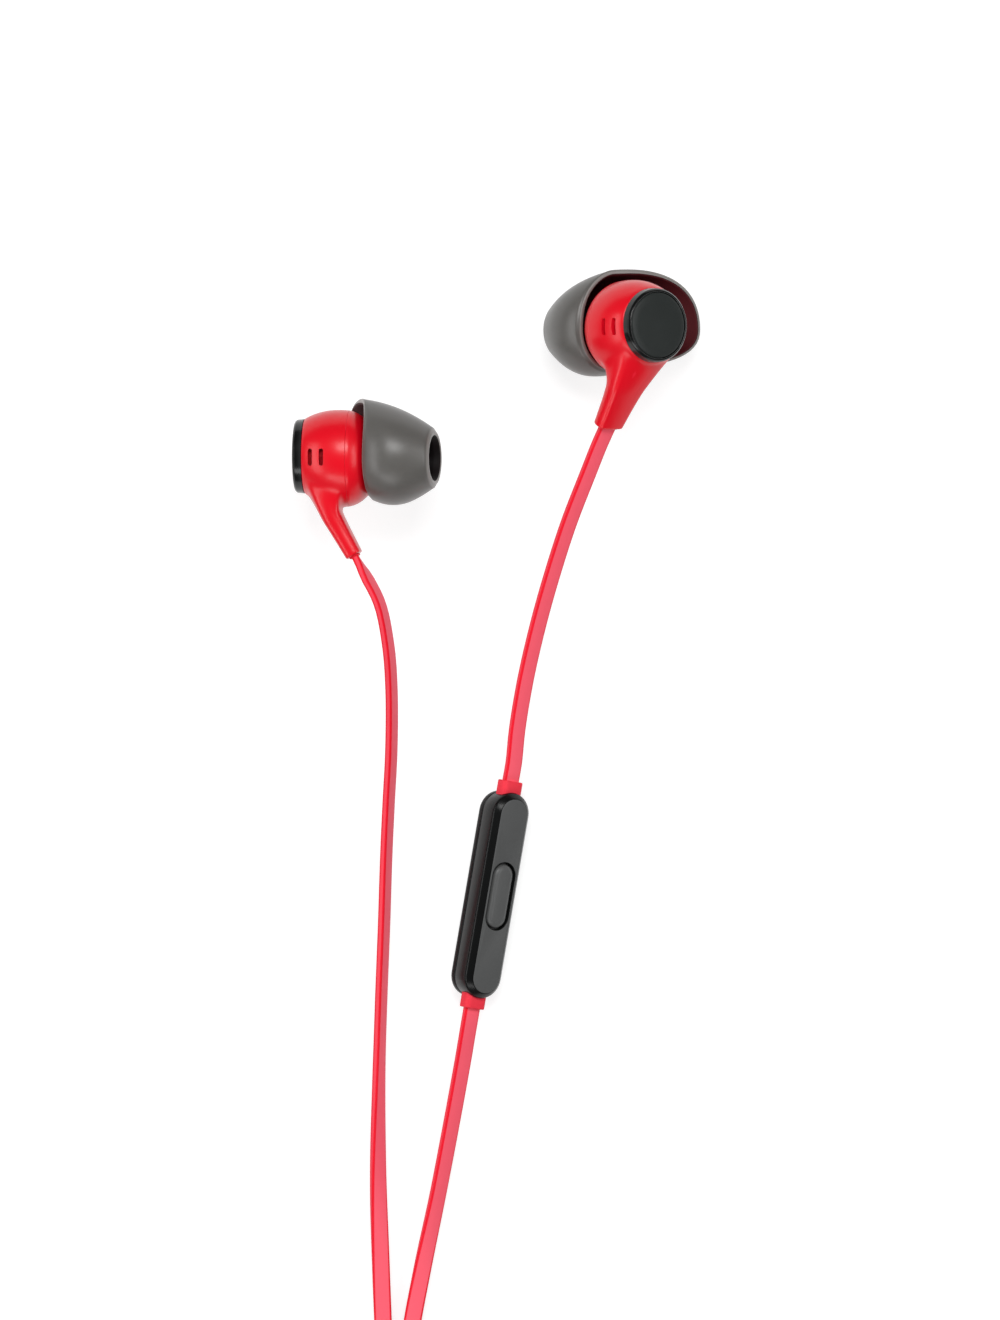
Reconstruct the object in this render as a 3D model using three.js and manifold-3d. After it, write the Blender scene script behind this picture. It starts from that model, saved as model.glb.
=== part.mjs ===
// Wired in-ear earphones with hooded silicone tips, a flat cable, an in-line button, a splitter
// and a four-pole plug. Lengths are millimetres and +Z is up. The earphones lie on a surface at
// Z = 0, and the origin is the bottom centre of the two earpieces' box.
//
// An earpiece is built in its own frame: X points to the rear of the ear, Y up along the ear and
// Z outwards, along the axis of its face disc. The right earpiece is the left one mirrored in X.

import * as THREE from "three";
import { mergeVertices } from "three/addons/utils/BufferGeometryUtils.js";
import Module from "manifold-3d";

const wasm = await Module();
wasm.setup();

// --- driving dimensions ---------------------------------------------------------------------

// Where each earpiece lies, and how far it is turned about Y.
const LEFT_PLACE = [21.8, 55.9];
const LEFT_TURN = 36;
const RIGHT_PLACE = [-26.2, 34.0];
const RIGHT_TURN = -95.5;

// Earpiece housing, measured along its axis from its widest section.
const HOUSING_RADIUS = 8.2;
const HOUSING_BACK_DEPTH = 6.1;
const HOUSING_FRONT_HEIGHT = 6.7;
const HOUSING_RIM_RADIUS = 6.35;
const HOUSING_WALL = 1.2;
const HOUSING_SEAM_BACK = 0.9;
const HOUSING_OPENING_RADIUS = 5.2;
const HOUSING_FRONT_BULGE = 2.3;
const RIM_RISE = 0.4;

// Outer face cap and its bare disc.
const CAP_HEIGHT = 1.6;
const CAP_FACE_STEP = 0.45;
const CAP_FACE_RADIUS = HOUSING_RIM_RADIUS - CAP_FACE_STEP;
const CAP_SPIGOT_LENGTH = 1.35;
const CAP_RING_WIDTH = 0.4;
const PLATE_RADIUS = CAP_FACE_RADIUS - CAP_RING_WIDTH;
const PLATE_THICKNESS = 0.5;

// Dynamic driver inside the housing.
const DRIVER_CLEARANCE = 0.4;
const DRIVER_RADIUS = HOUSING_RADIUS - HOUSING_WALL - DRIVER_CLEARANCE;
const DRIVER_HEIGHT = 2.6;
const DRIVER_LIP = 0.4;
const DIAPHRAGM_THICKNESS = 0.3;
const MAGNET_RADIUS = 4.1;
const MAGNET_HEIGHT = 2.4;
const DRIVER_LEDGE = 0.7;

// Sound nozzle, leaning back from the housing's axis.
const NOZZLE_LEAN = 9;
const NOZZLE_RADIUS = 2.7;
const NOZZLE_BORE_RADIUS = 2.1;
const NOZZLE_LENGTH = 10.3;
const BARB_RADIUS = 3.0;
const BARB_LENGTH = 1.0;
const MESH_THICKNESS = 0.25;
const MESH_SEAT_DEPTH = 0.4;

// Two vent slots in the front side of the housing.
const VENT_LENGTH = 2.9;
const VENT_WIDTH = 0.75;
const VENT_PITCH = 1.95;
const VENT_DROP = 2.55;
const VENT_HEIGHT = HOUSING_FRONT_HEIGHT - VENT_DROP;
const VENT_RISE = 0.1;
const VENT_MESH_THICKNESS = 0.25;
const VENT_MESH_MARGIN = 0.5;

// Stem that the cable comes out of: its end's centre, its lean towards the ear and its section.
const STEM_END = new THREE.Vector3(-3.0, -16.4, -2.0);
const STEM_LEAN = 30;
const STEM_LENGTH = 13.5;
const STEM_DRIFT = 1.6;
const STEM_END_WIDTH = 5.2;
const STEM_END_THICKNESS = 2.9;
const STEM_ROOT_WIDTH = 9.0;
const STEM_ROOT_THICKNESS = 4.3;
const STEM_EDGE = 0.35;
const STEM_CORNER = 1.1;

// Hooded silicone tip. Depths are measured back from its mouth, along the nozzle.
const TIP_MOUTH_RADIUS = 4.8;
const TIP_MOUTH_BORE = 3.8;
const TIP_AHEAD = 5.5;
const TIP_WALL = 1.0;
const TIP_TOP_SWELL = 5.65;
const TIP_TOP_DEPTH = 20.0;
const TIP_TOP_EASE = 2.6;
const TIP_LOW_RADIUS = 7.9;
const TIP_LOW_DEPTH = 7.3;
const TIP_LOW_ROUND = 1.6;
const TIP_HOOD_REACH = 13.8;
const TIP_HOOD_SQUARE = 2.9;
const TIP_FRONT_DEPTH = 11.0;
const TIP_HOOD_DEPTH = 19.4;
const SLEEVE_WALL = 0.8;
const SLEEVE_LENGTH = 8.6;

// Flat cable.
const CORD_WIDTH = 3.0;
const CORD_THICKNESS = 1.2;
const CORD_STEP = 7;
const CORD_LEAN = 65;
const ANCHOR_LENGTH = 3.2;
const ANCHOR_WIDTH = 3.4;
const ANCHOR_THICKNESS = 1.7;

// In-line controller, with its front face up.
const CONTROL_LENGTH = 35.3;
const CONTROL_WIDTH = 7.4;
const CONTROL_FRONT_HEIGHT = 4.2;
const CONTROL_BACK_HEIGHT = 1.4;
const CONTROL_WALL = 1.0;
const CONTROL_CHAMFER = 1.0;
const CONTROL_ROLL = 35;
const CONTROL_CENTRE = new THREE.Vector2(-1.5, -39.8);
const CONTROL_HEADING = 260.3;
const BUTTON_LENGTH = 11.0;
const BUTTON_WIDTH = 4.0;
const BUTTON_PROUD = 0.3;
const BUTTON_FLANGE = 0.5;
const BUTTON_TRAVEL = 0.3;
const BOARD_THICKNESS = 0.6;
const BOARD_LENGTH = 30.0;
const BOARD_WIDTH = 4.4;
const SWITCH_SIZE = 3.0;
const MIC_LENGTH = 2.6;
const MIC_WIDTH = 1.8;
const MIC_HEIGHT = 0.9;
const MIC_PLACE = 11.5;
const MIC_PORT_RADIUS = 0.4;
const MIC_PORT_HEIGHT = 1.6;

// Red collars, where the cable enters the controller and the splitter.
const COLLAR_WIDTH = 4.1;
const COLLAR_THICKNESS = 2.7;
const COLLAR_LENGTH = 2.7;
const COLLAR_SUNK = 0.8;

// Splitter, lying flat.
const SPLITTER_WIDTH = 10.0;
const SPLITTER_LENGTH = 14.0;
const SPLITTER_HEIGHT = 4.6;
const SPLITTER_CORNER = 3.0;
const SPLITTER_CHAMFER = 0.7;
const SPLITTER_CENTRE = new THREE.Vector2(-17.5, -127.0);
const SPLITTER_PITCH = 4.6;

// Coil of the main cable, lying on its strap.
const COIL_CENTRE = new THREE.Vector2(3.5, -166.0);
const COIL_RADIUS = 21.0;
const COIL_PITCH = 1.7;
const COIL_LAYER_STEP = 3.5;
const COIL_TURNS = 8.5;
const COIL_STEPS_PER_TURN = 24;
const STRAP_WIDTH = 6.0;
const STRAP_THICKNESS = 0.8;

// Four-pole plug with a right-angled grip, lying on its side.
const GRIP_RADIUS = 3.5;
const GRIP_LENGTH = 10.5;
const GRIP_NECK = 6.0;
const GRIP_EDGE = 0.6;
const PLUG_CENTRE = new THREE.Vector2(24.5, -124.0);
const RELIEF_LENGTH = 8.0;
const RELIEF_SIDE_WALL = 0.9;
const RELIEF_FACE_WALL = 1.1;
const PIN_RADIUS = 1.75;
const PIN_LENGTH = 14.0;
const PIN_CORE_RADIUS = 0.8;
const PIN_GAP = 0.7;
const PIN_RING_LENGTH = 2.4;
const PIN_SLEEVE_LENGTH = 3.6;
const PIN_ROOT = 2.0;

// Clearances.
const FIT = 0.15;
const JOINT_GAP = 0.3;
const SLIDE_GAP = 0.3;
const BUTT_GAP = 0.3;
const SEAM_GAP = 0.2;

// Hand-chosen points of each free stretch of cable: x, y and height, from earpiece to splitter.
const RIGHT_ROUTE = [
  [-20.3, 9.6, 17.4],
  [-18.9, 2.8, 14.9],
  [-18.35, -4.5, 11.6],
  [-18.4, -15.1, 7.5],
  [-18.9, -24.5, 4.8],
  [-19.3, -33.0, 3.0],
  [-19.7, -45.0, 1.9],
  [-20.2, -58.0, 1.7],
  [-20.6, -72.0, 1.7],
  [-20.7, -88.0, 1.7],
  [-20.2, -104.0, 1.9],
];
const LEFT_UPPER_ROUTE = [
  [14.9, 31.6, 11.9],
  [11.6, 23.1, 10.0],
  [8.5, 13.4, 8.1],
  [6.2, 5.0, 6.6],
  [4.3, -3.4, 5.5],
  [2.9, -11.8, 4.7],
];
const LEFT_LOWER_ROUTE = [
  [-6.3, -68.0, 3.1],
  [-8.3, -79.0, 2.0],
  [-10.6, -91.0, 1.5],
  [-13.3, -104.0, 1.6],
];
const LEAD_ROUTE = [[-17.5, -148.0, 2.4]];
const TAIL_ROUTE = [
  [24.5, -155.0, 5.4],
  [24.5, -146.0, 4.0],
];

// --- materials ------------------------------------------------------------------------------

const finish = (color, roughness, metalness = 0) =>
  new THREE.MeshStandardMaterial({ color, roughness, metalness });

const redGloss = finish(0xe8001c, 0.28);
const redCable = finish(0xf01f38, 0.45);
const blackGloss = finish(0x0a0b0b, 0.22);
const darkDisc = finish(0x303333, 0.35);
const silicone = finish(0x5e5c59, 0.55);
const blackShell = finish(0x3a3c3b, 0.38);
const greyButton = finish(0x5a5a5a, 0.42);
const steel = finish(0xb8babc, 0.3, 1);
const circuit = finish(0x1f5a34, 0.6);
const film = finish(0xd8c89a, 0.4);
const contact = finish(0xd9c27a, 0.22, 1);
const insulator = finish(0x151515, 0.5);
const strap = finish(0x1a1a1a, 0.8);

// --- solids ---------------------------------------------------------------------------------

/** A closed geometry as a solid that can be joined and cut. */
function toSolid(geometry) {
  const bare = geometry.clone();
  bare.deleteAttribute("normal");
  bare.deleteAttribute("uv");
  const merged = mergeVertices(bare, 1e-4);
  const mesh = new wasm.Mesh({
    numProp: 3,
    vertProperties: new Float32Array(merged.getAttribute("position").array),
    triVerts: new Uint32Array(merged.index.array),
  });
  return new wasm.Manifold(mesh);
}

/** A named mesh of a solid or of a closed geometry. */
function part(name, shape, material) {
  let geometry = shape;
  if (!shape.isBufferGeometry) {
    const { vertProperties, triVerts } = shape.getMesh();
    geometry = new THREE.BufferGeometry();
    geometry.setAttribute("position", new THREE.BufferAttribute(vertProperties, 3));
    geometry.setIndex(new THREE.BufferAttribute(triVerts, 1));
    geometry = geometry.toNonIndexed();
    geometry.computeVertexNormals();
  }
  const mesh = new THREE.Mesh(geometry, material);
  mesh.name = name;
  return mesh;
}

/** Moves every vertex of a geometry to the place that `place` returns for it. */
function reshape(geometry, place) {
  const position = geometry.getAttribute("position");
  const point = new THREE.Vector3();
  for (let i = 0; i < position.count; i++) {
    point.fromBufferAttribute(position, i);
    position.setXYZ(i, ...place(point, i));
  }
  return geometry;
}

/** A solid of revolution about Z; `outlineAt(angle)` gives its [radius, height] outline. */
function turned(outlineAt, segments = 24) {
  const count = outlineAt(0).length;
  const seed = outlineAt(0).map(([radius, height]) => new THREE.Vector2(radius, height));
  return reshape(new THREE.LatheGeometry(seed, segments), (point, i) => {
    const angle = ((Math.floor(i / count) % segments) * 2 * Math.PI) / segments;
    const [radius, height] = outlineAt(angle)[i % count];
    return [radius * Math.cos(angle), radius * Math.sin(angle), height];
  });
}

/** A round solid about Z from a fixed outline, which starts and ends on the axis. */
const lathe = (outline, segments) => turned(() => outline, segments);

/** A round ring about Z from an outline that closes on itself. */
const ring = (outline, segments) => lathe([...outline, outline[0]], segments);

const drum = (radius, low, high, segments) =>
  lathe([[0, low], [radius, low], [radius, high], [0, high]], segments);

const tube = (inner, outer, low, high, segments) =>
  ring([[inner, low], [outer, low], [outer, high], [inner, high]], segments);

const box = (width, length, height, x, y, z) =>
  new THREE.BoxGeometry(width, length, height).translate(x, y, z);

/** A rounded rectangle centred on the origin. */
function roundedRect(width, length, corner) {
  const x = width / 2 - corner;
  const y = length / 2 - corner;
  const shape = new THREE.Shape();
  shape.absarc(x, y, corner, 0, Math.PI / 2);
  shape.absarc(-x, y, corner, Math.PI / 2, Math.PI);
  shape.absarc(-x, -y, corner, Math.PI, 1.5 * Math.PI);
  shape.absarc(x, -y, corner, 1.5 * Math.PI, 2 * Math.PI);
  return shape;
}

/** A plate with a rounded outline along Z, through layers of [height, inset]. */
function slab(width, length, corner, layers, curveSegments = 4) {
  const radius = Math.min(corner, width / 2 - 0.001, length / 2 - 0.001);
  const steps = layers.length - 1;
  const shape = roundedRect(width, length, radius);
  const options = { depth: steps, steps, bevelEnabled: false, curveSegments };
  const x = width / 2 - radius;
  const y = length / 2 - radius;
  return reshape(new THREE.ExtrudeGeometry(shape, options), (point) => {
    const [height, inset] = layers[Math.round(point.z)];
    const cx = THREE.MathUtils.clamp(point.x, -x, x);
    const cy = THREE.MathUtils.clamp(point.y, -y, y);
    const keep = (radius - inset) / radius;
    return [cx + (point.x - cx) * keep, cy + (point.y - cy) * keep, height];
  });
}

/** The layers of a plate whose two rims are cut back by `edge`. */
const eased = (low, high, edge) => [
  [low, edge],
  [low + edge, 0],
  [high - edge, 0],
  [high, edge],
];

// --- frames along the cable -----------------------------------------------------------------

const UP = new THREE.Vector3(0, 0, 1);

/** Width, face and run directions of a flat cable whose face is turned by `roll` degrees. */
function cordFrame(run, roll) {
  const level = UP.clone().addScaledVector(run, -run.z).normalize();
  const across = new THREE.Vector3().crossVectors(level, run);
  const angle = THREE.MathUtils.degToRad(roll);
  const face = level.clone().multiplyScalar(Math.cos(angle));
  face.addScaledVector(across, Math.sin(angle));
  return { side: new THREE.Vector3().crossVectors(face, run), face, run };
}

/** The roll, in degrees, that turns a cable's face towards a direction. */
function rollTowards(run, direction) {
  const { side, face } = cordFrame(run, 0);
  return THREE.MathUtils.radToDeg(Math.atan2(direction.dot(side), direction.dot(face)));
}

/** The roll at a share of the length, from a list of [share, roll]. */
function rollAt(rolls, share) {
  let i = 0;
  while (i < rolls.length - 2 && share > rolls[i + 1][0]) i++;
  const [[from, start], [to, end]] = [rolls[i], rolls[i + 1]];
  return THREE.MathUtils.lerp(start, end, THREE.MathUtils.smoothstep(share, from, to));
}

/** The flat section of the cable, with `sides` of 6 or 8. */
function cordSection(sides) {
  const x = CORD_WIDTH / 2;
  const y = CORD_THICKNESS / 2;
  const corner = sides === 8 ? [[x, y * 0.5], [x - y * 0.6, y]] : [[x, 0], [x - y * 0.7, y]];
  const [[ax, ay], [bx, by]] = corner;
  const outline = [[ax, ay], [bx, by], [-bx, by], [-ax, ay], [-bx, -by], [bx, -by]];
  if (sides === 8) outline.splice(4, 2, [-ax, -ay], [-bx, -by], [bx, -by], [ax, -ay]);
  return new THREE.Shape(outline.map(([px, py]) => new THREE.Vector2(px, py)));
}

/** A flat cable through stations that each hold an origin and a frame. */
function cordSolid(stations, sides) {
  const steps = stations.length - 1;
  const options = { depth: steps, steps, bevelEnabled: false };
  const place = new THREE.Vector3();
  return reshape(new THREE.ExtrudeGeometry(cordSection(sides), options), (point) => {
    const { origin, side, face } = stations[Math.round(point.z)];
    place.copy(origin).addScaledVector(side, point.x).addScaledVector(face, point.y);
    return [place.x, place.y, place.z];
  });
}

/** Stations along a curve, with a turning face. */
function stationsAlong(curve, rolls) {
  const length = curve.getLength();
  const steps = Math.max(4, Math.ceil(length / CORD_STEP));
  return Array.from({ length: steps + 1 }, (_, i) => {
    const share = i / steps;
    const run = curve.getTangentAt(share);
    return { origin: curve.getPointAt(share), ...cordFrame(run, rollAt(rolls, share)) };
  });
}

/** A free stretch of cable from one gate to another, straight for one width at each. */
function freeCord(name, from, points, to, rolls) {
  const start = from.place.clone().addScaledVector(from.out, BUTT_GAP);
  const end = to.place.clone().addScaledVector(to.out, BUTT_GAP);
  const route = [
    start,
    start.clone().addScaledVector(from.out, CORD_WIDTH),
    ...points.map((point) => new THREE.Vector3(...point)),
    end.clone().addScaledVector(to.out, CORD_WIDTH),
    end,
  ];
  const curve = new THREE.CatmullRomCurve3(route, false, "centripetal");
  return part(name, cordSolid(stationsAlong(curve, rolls), 8), redCable);
}

// --- earpiece -------------------------------------------------------------------------------

const coneAngle = THREE.MathUtils.degToRad(NOZZLE_LEAN);

/** Radius of the housing at a height above its widest section, drawn in by `inset`. */
function housingRadius(height, inset, rimRadius) {
  const widest = HOUSING_RADIUS - inset;
  if (height <= 0) {
    const share = Math.min(1, -height / (HOUSING_BACK_DEPTH - inset));
    return widest * Math.sqrt(1 - share * share);
  }
  return widest - (widest - rimRadius) * (height / HOUSING_FRONT_HEIGHT) ** HOUSING_FRONT_BULGE;
}

/** The housing's outline, from the axis at its back to its rim. */
function housingOutline(inset, rimRadius, top) {
  const back = HOUSING_BACK_DEPTH - inset;
  const rows = [1, 0.95, 0.8, 0.58, 0.3, 0].map((share) => -back * share);
  const front = [0.35, 0.62, 0.85, 1].map((share) => share * HOUSING_FRONT_HEIGHT);
  const wall = [...rows, ...front].map((height) => [
    housingRadius(height, inset, rimRadius),
    height,
  ]);
  return [...wall, [rimRadius, top], [0, top]];
}

/** Leans a housing geometry's front towards the top of the ear by the rim's rise. */
function raiseRim(geometry) {
  return reshape(geometry, ({ x, y, z }) => {
    const share = THREE.MathUtils.clamp(z / HOUSING_FRONT_HEIGHT, 0, 1);
    return [x, y + RIM_RISE * share, z];
  });
}

const housingOuter = () =>
  toSolid(
    raiseRim(lathe([
      ...housingOutline(0, HOUSING_RIM_RADIUS, HOUSING_FRONT_HEIGHT).slice(0, -2),
      [0, HOUSING_FRONT_HEIGHT],
    ])),
  );

const housingInner = (gap = 0) =>
  toSolid(
    raiseRim(lathe(
      housingOutline(HOUSING_WALL + gap, HOUSING_OPENING_RADIUS - gap, HOUSING_FRONT_HEIGHT + 1),
    )),
  );

/** Where the stem's axis lies at a distance back from its end, and the directions across it. */
function stemFrame(distance) {
  const lean = THREE.MathUtils.degToRad(STEM_LEAN);
  const back = new THREE.Vector3(0, Math.cos(lean), Math.sin(lean));
  const out = new THREE.Vector3(0, -Math.sin(lean), Math.cos(lean));
  const centre = STEM_END.clone().addScaledVector(back, distance);
  centre.x += (STEM_DRIFT * distance) / STEM_LENGTH;
  return { centre, out };
}

/** A rounded bar along the stem's axis, through layers of [distance, width, thickness]. */
function stemBar(layers, corner) {
  const steps = layers.length - 1;
  const [, width, thickness] = layers[0];
  const options = { depth: steps, steps, bevelEnabled: false, curveSegments: 3 };
  const shape = roundedRect(width, thickness, corner);
  return reshape(new THREE.ExtrudeGeometry(shape, options), (point) => {
    const [distance, wide, thick] = layers[steps - Math.round(point.z)];
    const { centre, out } = stemFrame(distance);
    centre.x += (point.x * wide) / width;
    centre.addScaledVector(out, (point.y * thick) / thickness);
    return [centre.x, centre.y, centre.z];
  });
}

/** The stem's outer form, from its eased end to its root inside the housing. */
function stemOuter() {
  const at = (share, flare) => [
    STEM_LENGTH * share,
    THREE.MathUtils.lerp(STEM_END_WIDTH, STEM_ROOT_WIDTH, flare),
    THREE.MathUtils.lerp(STEM_END_THICKNESS, STEM_ROOT_THICKNESS, flare),
  ];
  const end = [0, STEM_END_WIDTH - 2 * STEM_EDGE, STEM_END_THICKNESS - 2 * STEM_EDGE];
  const lip = [STEM_EDGE, STEM_END_WIDTH, STEM_END_THICKNESS];
  const flares = [at(0.35, 0.25), at(0.65, 0.6), at(0.85, 0.9), at(1, 1)];
  return toSolid(stemBar([end, lip, ...flares], STEM_CORNER));
}

/** The way through the stem: a seat for the anchor and a passage for the cable's core. */
function stemChannel() {
  const seat = [ANCHOR_WIDTH + 2 * FIT, ANCHOR_THICKNESS + 2 * FIT];
  const core = [CORD_WIDTH * 0.7, CORD_THICKNESS];
  const shoulder = ANCHOR_LENGTH - SLIDE_GAP + FIT;
  const wide = toSolid(stemBar([[-1, ...seat], [shoulder, ...seat]], 0.4));
  const narrow = toSolid(stemBar([[shoulder - 1, ...core], [STEM_LENGTH * 0.92, ...core]], 0.3));
  return wide.add(narrow);
}

/** The two vent slots, cut through the front side of the wall. */
function ventSlots() {
  const depth = HOUSING_WALL * 3;
  const x = -(HOUSING_RADIUS - HOUSING_WALL / 2);
  const slot = (height) => toSolid(box(depth, VENT_LENGTH, VENT_WIDTH, x, VENT_RISE, height));
  return slot(VENT_HEIGHT - VENT_PITCH / 2).add(slot(VENT_HEIGHT + VENT_PITCH / 2));
}

/** Everything ahead of, or behind, the seam between the two housing halves. */
function seamHalf(ahead) {
  const size = 8 * HOUSING_RADIUS;
  const shift = (size + SEAM_GAP) / 2;
  return toSolid(box(size, size, size, 0, 0, -HOUSING_SEAM_BACK + (ahead ? -shift : shift)));
}

/** The half with the nozzle, with a ledge for the driver behind the seam. */
function nozzleHousing() {
  const ledge = HOUSING_RADIUS - HOUSING_WALL - DRIVER_LEDGE - 0.4;
  const back = HOUSING_BACK_DEPTH - HOUSING_WALL;
  const reach = back * Math.sqrt(1 - (ledge / (HOUSING_RADIUS - HOUSING_WALL)) ** 2);
  const bowl = housingOutline(HOUSING_WALL, HOUSING_OPENING_RADIUS, HOUSING_FRONT_HEIGHT)
    .filter(([, height]) => height < -reach - 0.2);
  const hollow = toSolid(lathe([...bowl, [ledge, -reach], [ledge, 1], [0, 1]]));
  const start = -HOUSING_BACK_DEPTH * 0.55;
  const barb = -NOZZLE_LENGTH + BARB_LENGTH;
  const neck = toSolid(
    lathe([
      [0, -NOZZLE_LENGTH],
      [BARB_RADIUS - 0.3, -NOZZLE_LENGTH],
      [BARB_RADIUS, -NOZZLE_LENGTH + 0.3],
      [BARB_RADIUS, barb],
      [NOZZLE_RADIUS, barb + 0.3],
      [NOZZLE_RADIUS, start],
      [0, start],
    ], 16).rotateY(coneAngle),
  );
  const seat = -NOZZLE_LENGTH + MESH_SEAT_DEPTH;
  const bore = toSolid(
    lathe([
      [0, -NOZZLE_LENGTH - 1],
      [NOZZLE_BORE_RADIUS + 0.3, -NOZZLE_LENGTH - 1],
      [NOZZLE_BORE_RADIUS + 0.3, seat],
      [NOZZLE_BORE_RADIUS, seat],
      [NOZZLE_BORE_RADIUS, start],
      [0, start],
    ], 16).rotateY(coneAngle),
  );
  return housingOuter().intersect(seamHalf(true)).add(neck).subtract(hollow).subtract(bore);
}

/** The half with the stem, the vents and the rim that carries the face cap. */
function stemHousing() {
  return housingOuter()
    .intersect(seamHalf(false))
    .add(stemOuter())
    .subtract(housingInner())
    .subtract(stemChannel())
    .subtract(ventSlots());
}

/** The black cap: a raised ring with a recess for the disc and a spigot in the housing. */
function faceCap() {
  const spigot = HOUSING_OPENING_RADIUS - SLIDE_GAP;
  const low = HOUSING_FRONT_HEIGHT - CAP_SPIGOT_LENGTH;
  const base = HOUSING_FRONT_HEIGHT + FIT;
  const top = HOUSING_FRONT_HEIGHT + CAP_HEIGHT;
  const seat = PLATE_RADIUS + FIT;
  const floor = top - PLATE_THICKNESS;
  const foot = HOUSING_RIM_RADIUS - 0.05;
  return lathe([
    [0, base],
    [spigot - 1, base],
    [spigot - 1, low],
    [spigot, low],
    [spigot, base],
    [foot, base],
    [foot - 0.1, base + 0.3 * CAP_HEIGHT],
    [CAP_FACE_RADIUS + 0.3, top - 0.2 * CAP_HEIGHT],
    [CAP_FACE_RADIUS, top],
    [seat + 0.1, top],
    [seat, floor],
    [0, floor],
  ]).translate(0, RIM_RISE, 0);
}

/** The bare disc in the cap's recess. */
function facePlate() {
  const top = HOUSING_FRONT_HEIGHT + CAP_HEIGHT;
  return drum(PLATE_RADIUS, top - PLATE_THICKNESS + 0.1, top + 0.05).translate(0, RIM_RISE, 0);
}

const driverFoot = -HOUSING_SEAM_BACK + SEAM_GAP / 2 + FIT;
const driverFloor = driverFoot + 0.7;

/** The driver's metal cup, around the diaphragm and the magnet. */
function driverFrame() {
  const inner = DRIVER_RADIUS - DRIVER_LIP;
  const well = MAGNET_RADIUS + FIT;
  return ring([
    [well, driverFloor],
    [inner, driverFloor],
    [inner, driverFoot],
    [DRIVER_RADIUS, driverFoot],
    [DRIVER_RADIUS, driverFoot + DRIVER_HEIGHT],
    [well, driverFoot + DRIVER_HEIGHT],
  ], 20);
}

/** The thin domed diaphragm in the front of the driver. */
function driverDiaphragm() {
  const radius = DRIVER_RADIUS - DRIVER_LIP - FIT;
  const top = driverFloor - FIT;
  const low = top - DIAPHRAGM_THICKNESS;
  const dome = radius * 0.5;
  return lathe([
    [0, low - 0.35],
    [dome * 0.6, low - 0.25],
    [dome, low],
    [radius, low],
    [radius, top],
    [dome, top],
    [dome * 0.6, top - 0.25],
    [0, top - 0.35],
  ], 16);
}

/** The acoustic mesh behind the vent slots, following the inside of the wall. */
function ventMesh() {
  const reach = VENT_LENGTH + 2 * VENT_MESH_MARGIN;
  const rise = VENT_PITCH + VENT_WIDTH + VENT_MESH_MARGIN;
  const size = HOUSING_RADIUS;
  const window = toSolid(box(size, reach, rise, -0.75 * size, VENT_RISE, VENT_HEIGHT));
  return housingInner(FIT).subtract(housingInner(FIT + VENT_MESH_THICKNESS)).intersect(window);
}

/** Half the tip's height above the nozzle, which swells quickly and then levels off. */
function topHeight(depth) {
  const left = Math.max(0, 1 - depth / TIP_TOP_DEPTH);
  return TIP_MOUTH_RADIUS + TIP_TOP_SWELL * (1 - left ** TIP_TOP_EASE);
}

/** Half the tip's height below the nozzle, and its reach in front: a dome that draws in again. */
function domeHeight(depth) {
  const share = Math.min(depth / TIP_LOW_DEPTH, TIP_LOW_ROUND);
  return TIP_MOUTH_RADIUS + (TIP_LOW_RADIUS - TIP_MOUTH_RADIUS) * Math.sin((Math.PI / 2) * share);
}

/** Outer radius of the tip in a direction round the nozzle, at a depth behind the mouth. */
function tipRadius(angle, depth) {
  const rear = Math.cos(angle) > 0;
  const upper = Math.sin(angle) > 0;
  const tall = upper ? topHeight(depth) : domeHeight(depth);
  const hood = ((TIP_HOOD_REACH - TIP_MOUTH_RADIUS) * depth) / TIP_HOOD_DEPTH;
  const long = rear ? TIP_MOUTH_RADIUS + hood : domeHeight(depth);
  const square = rear ? TIP_HOOD_SQUARE : 2;
  const back = THREE.MathUtils.smoothstep(depth, 0.2 * TIP_FRONT_DEPTH, TIP_FRONT_DEPTH);
  const power = THREE.MathUtils.lerp(2, square, back);
  const [x, y] = [Math.abs(Math.cos(angle)) / long, Math.abs(Math.sin(angle)) / tall];
  return (x ** power + y ** power) ** (-1 / power);
}

/** Depth of the tip's rim: shallow in front and below, and deep where the hood reaches back. */
function rimDepth(angle) {
  const power = Math.sin(angle) > 0 ? 2.3 : 7;
  const share = ((1 + Math.cos(angle)) / 2) ** power;
  return TIP_FRONT_DEPTH + (TIP_HOOD_DEPTH - TIP_FRONT_DEPTH) * share;
}

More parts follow.
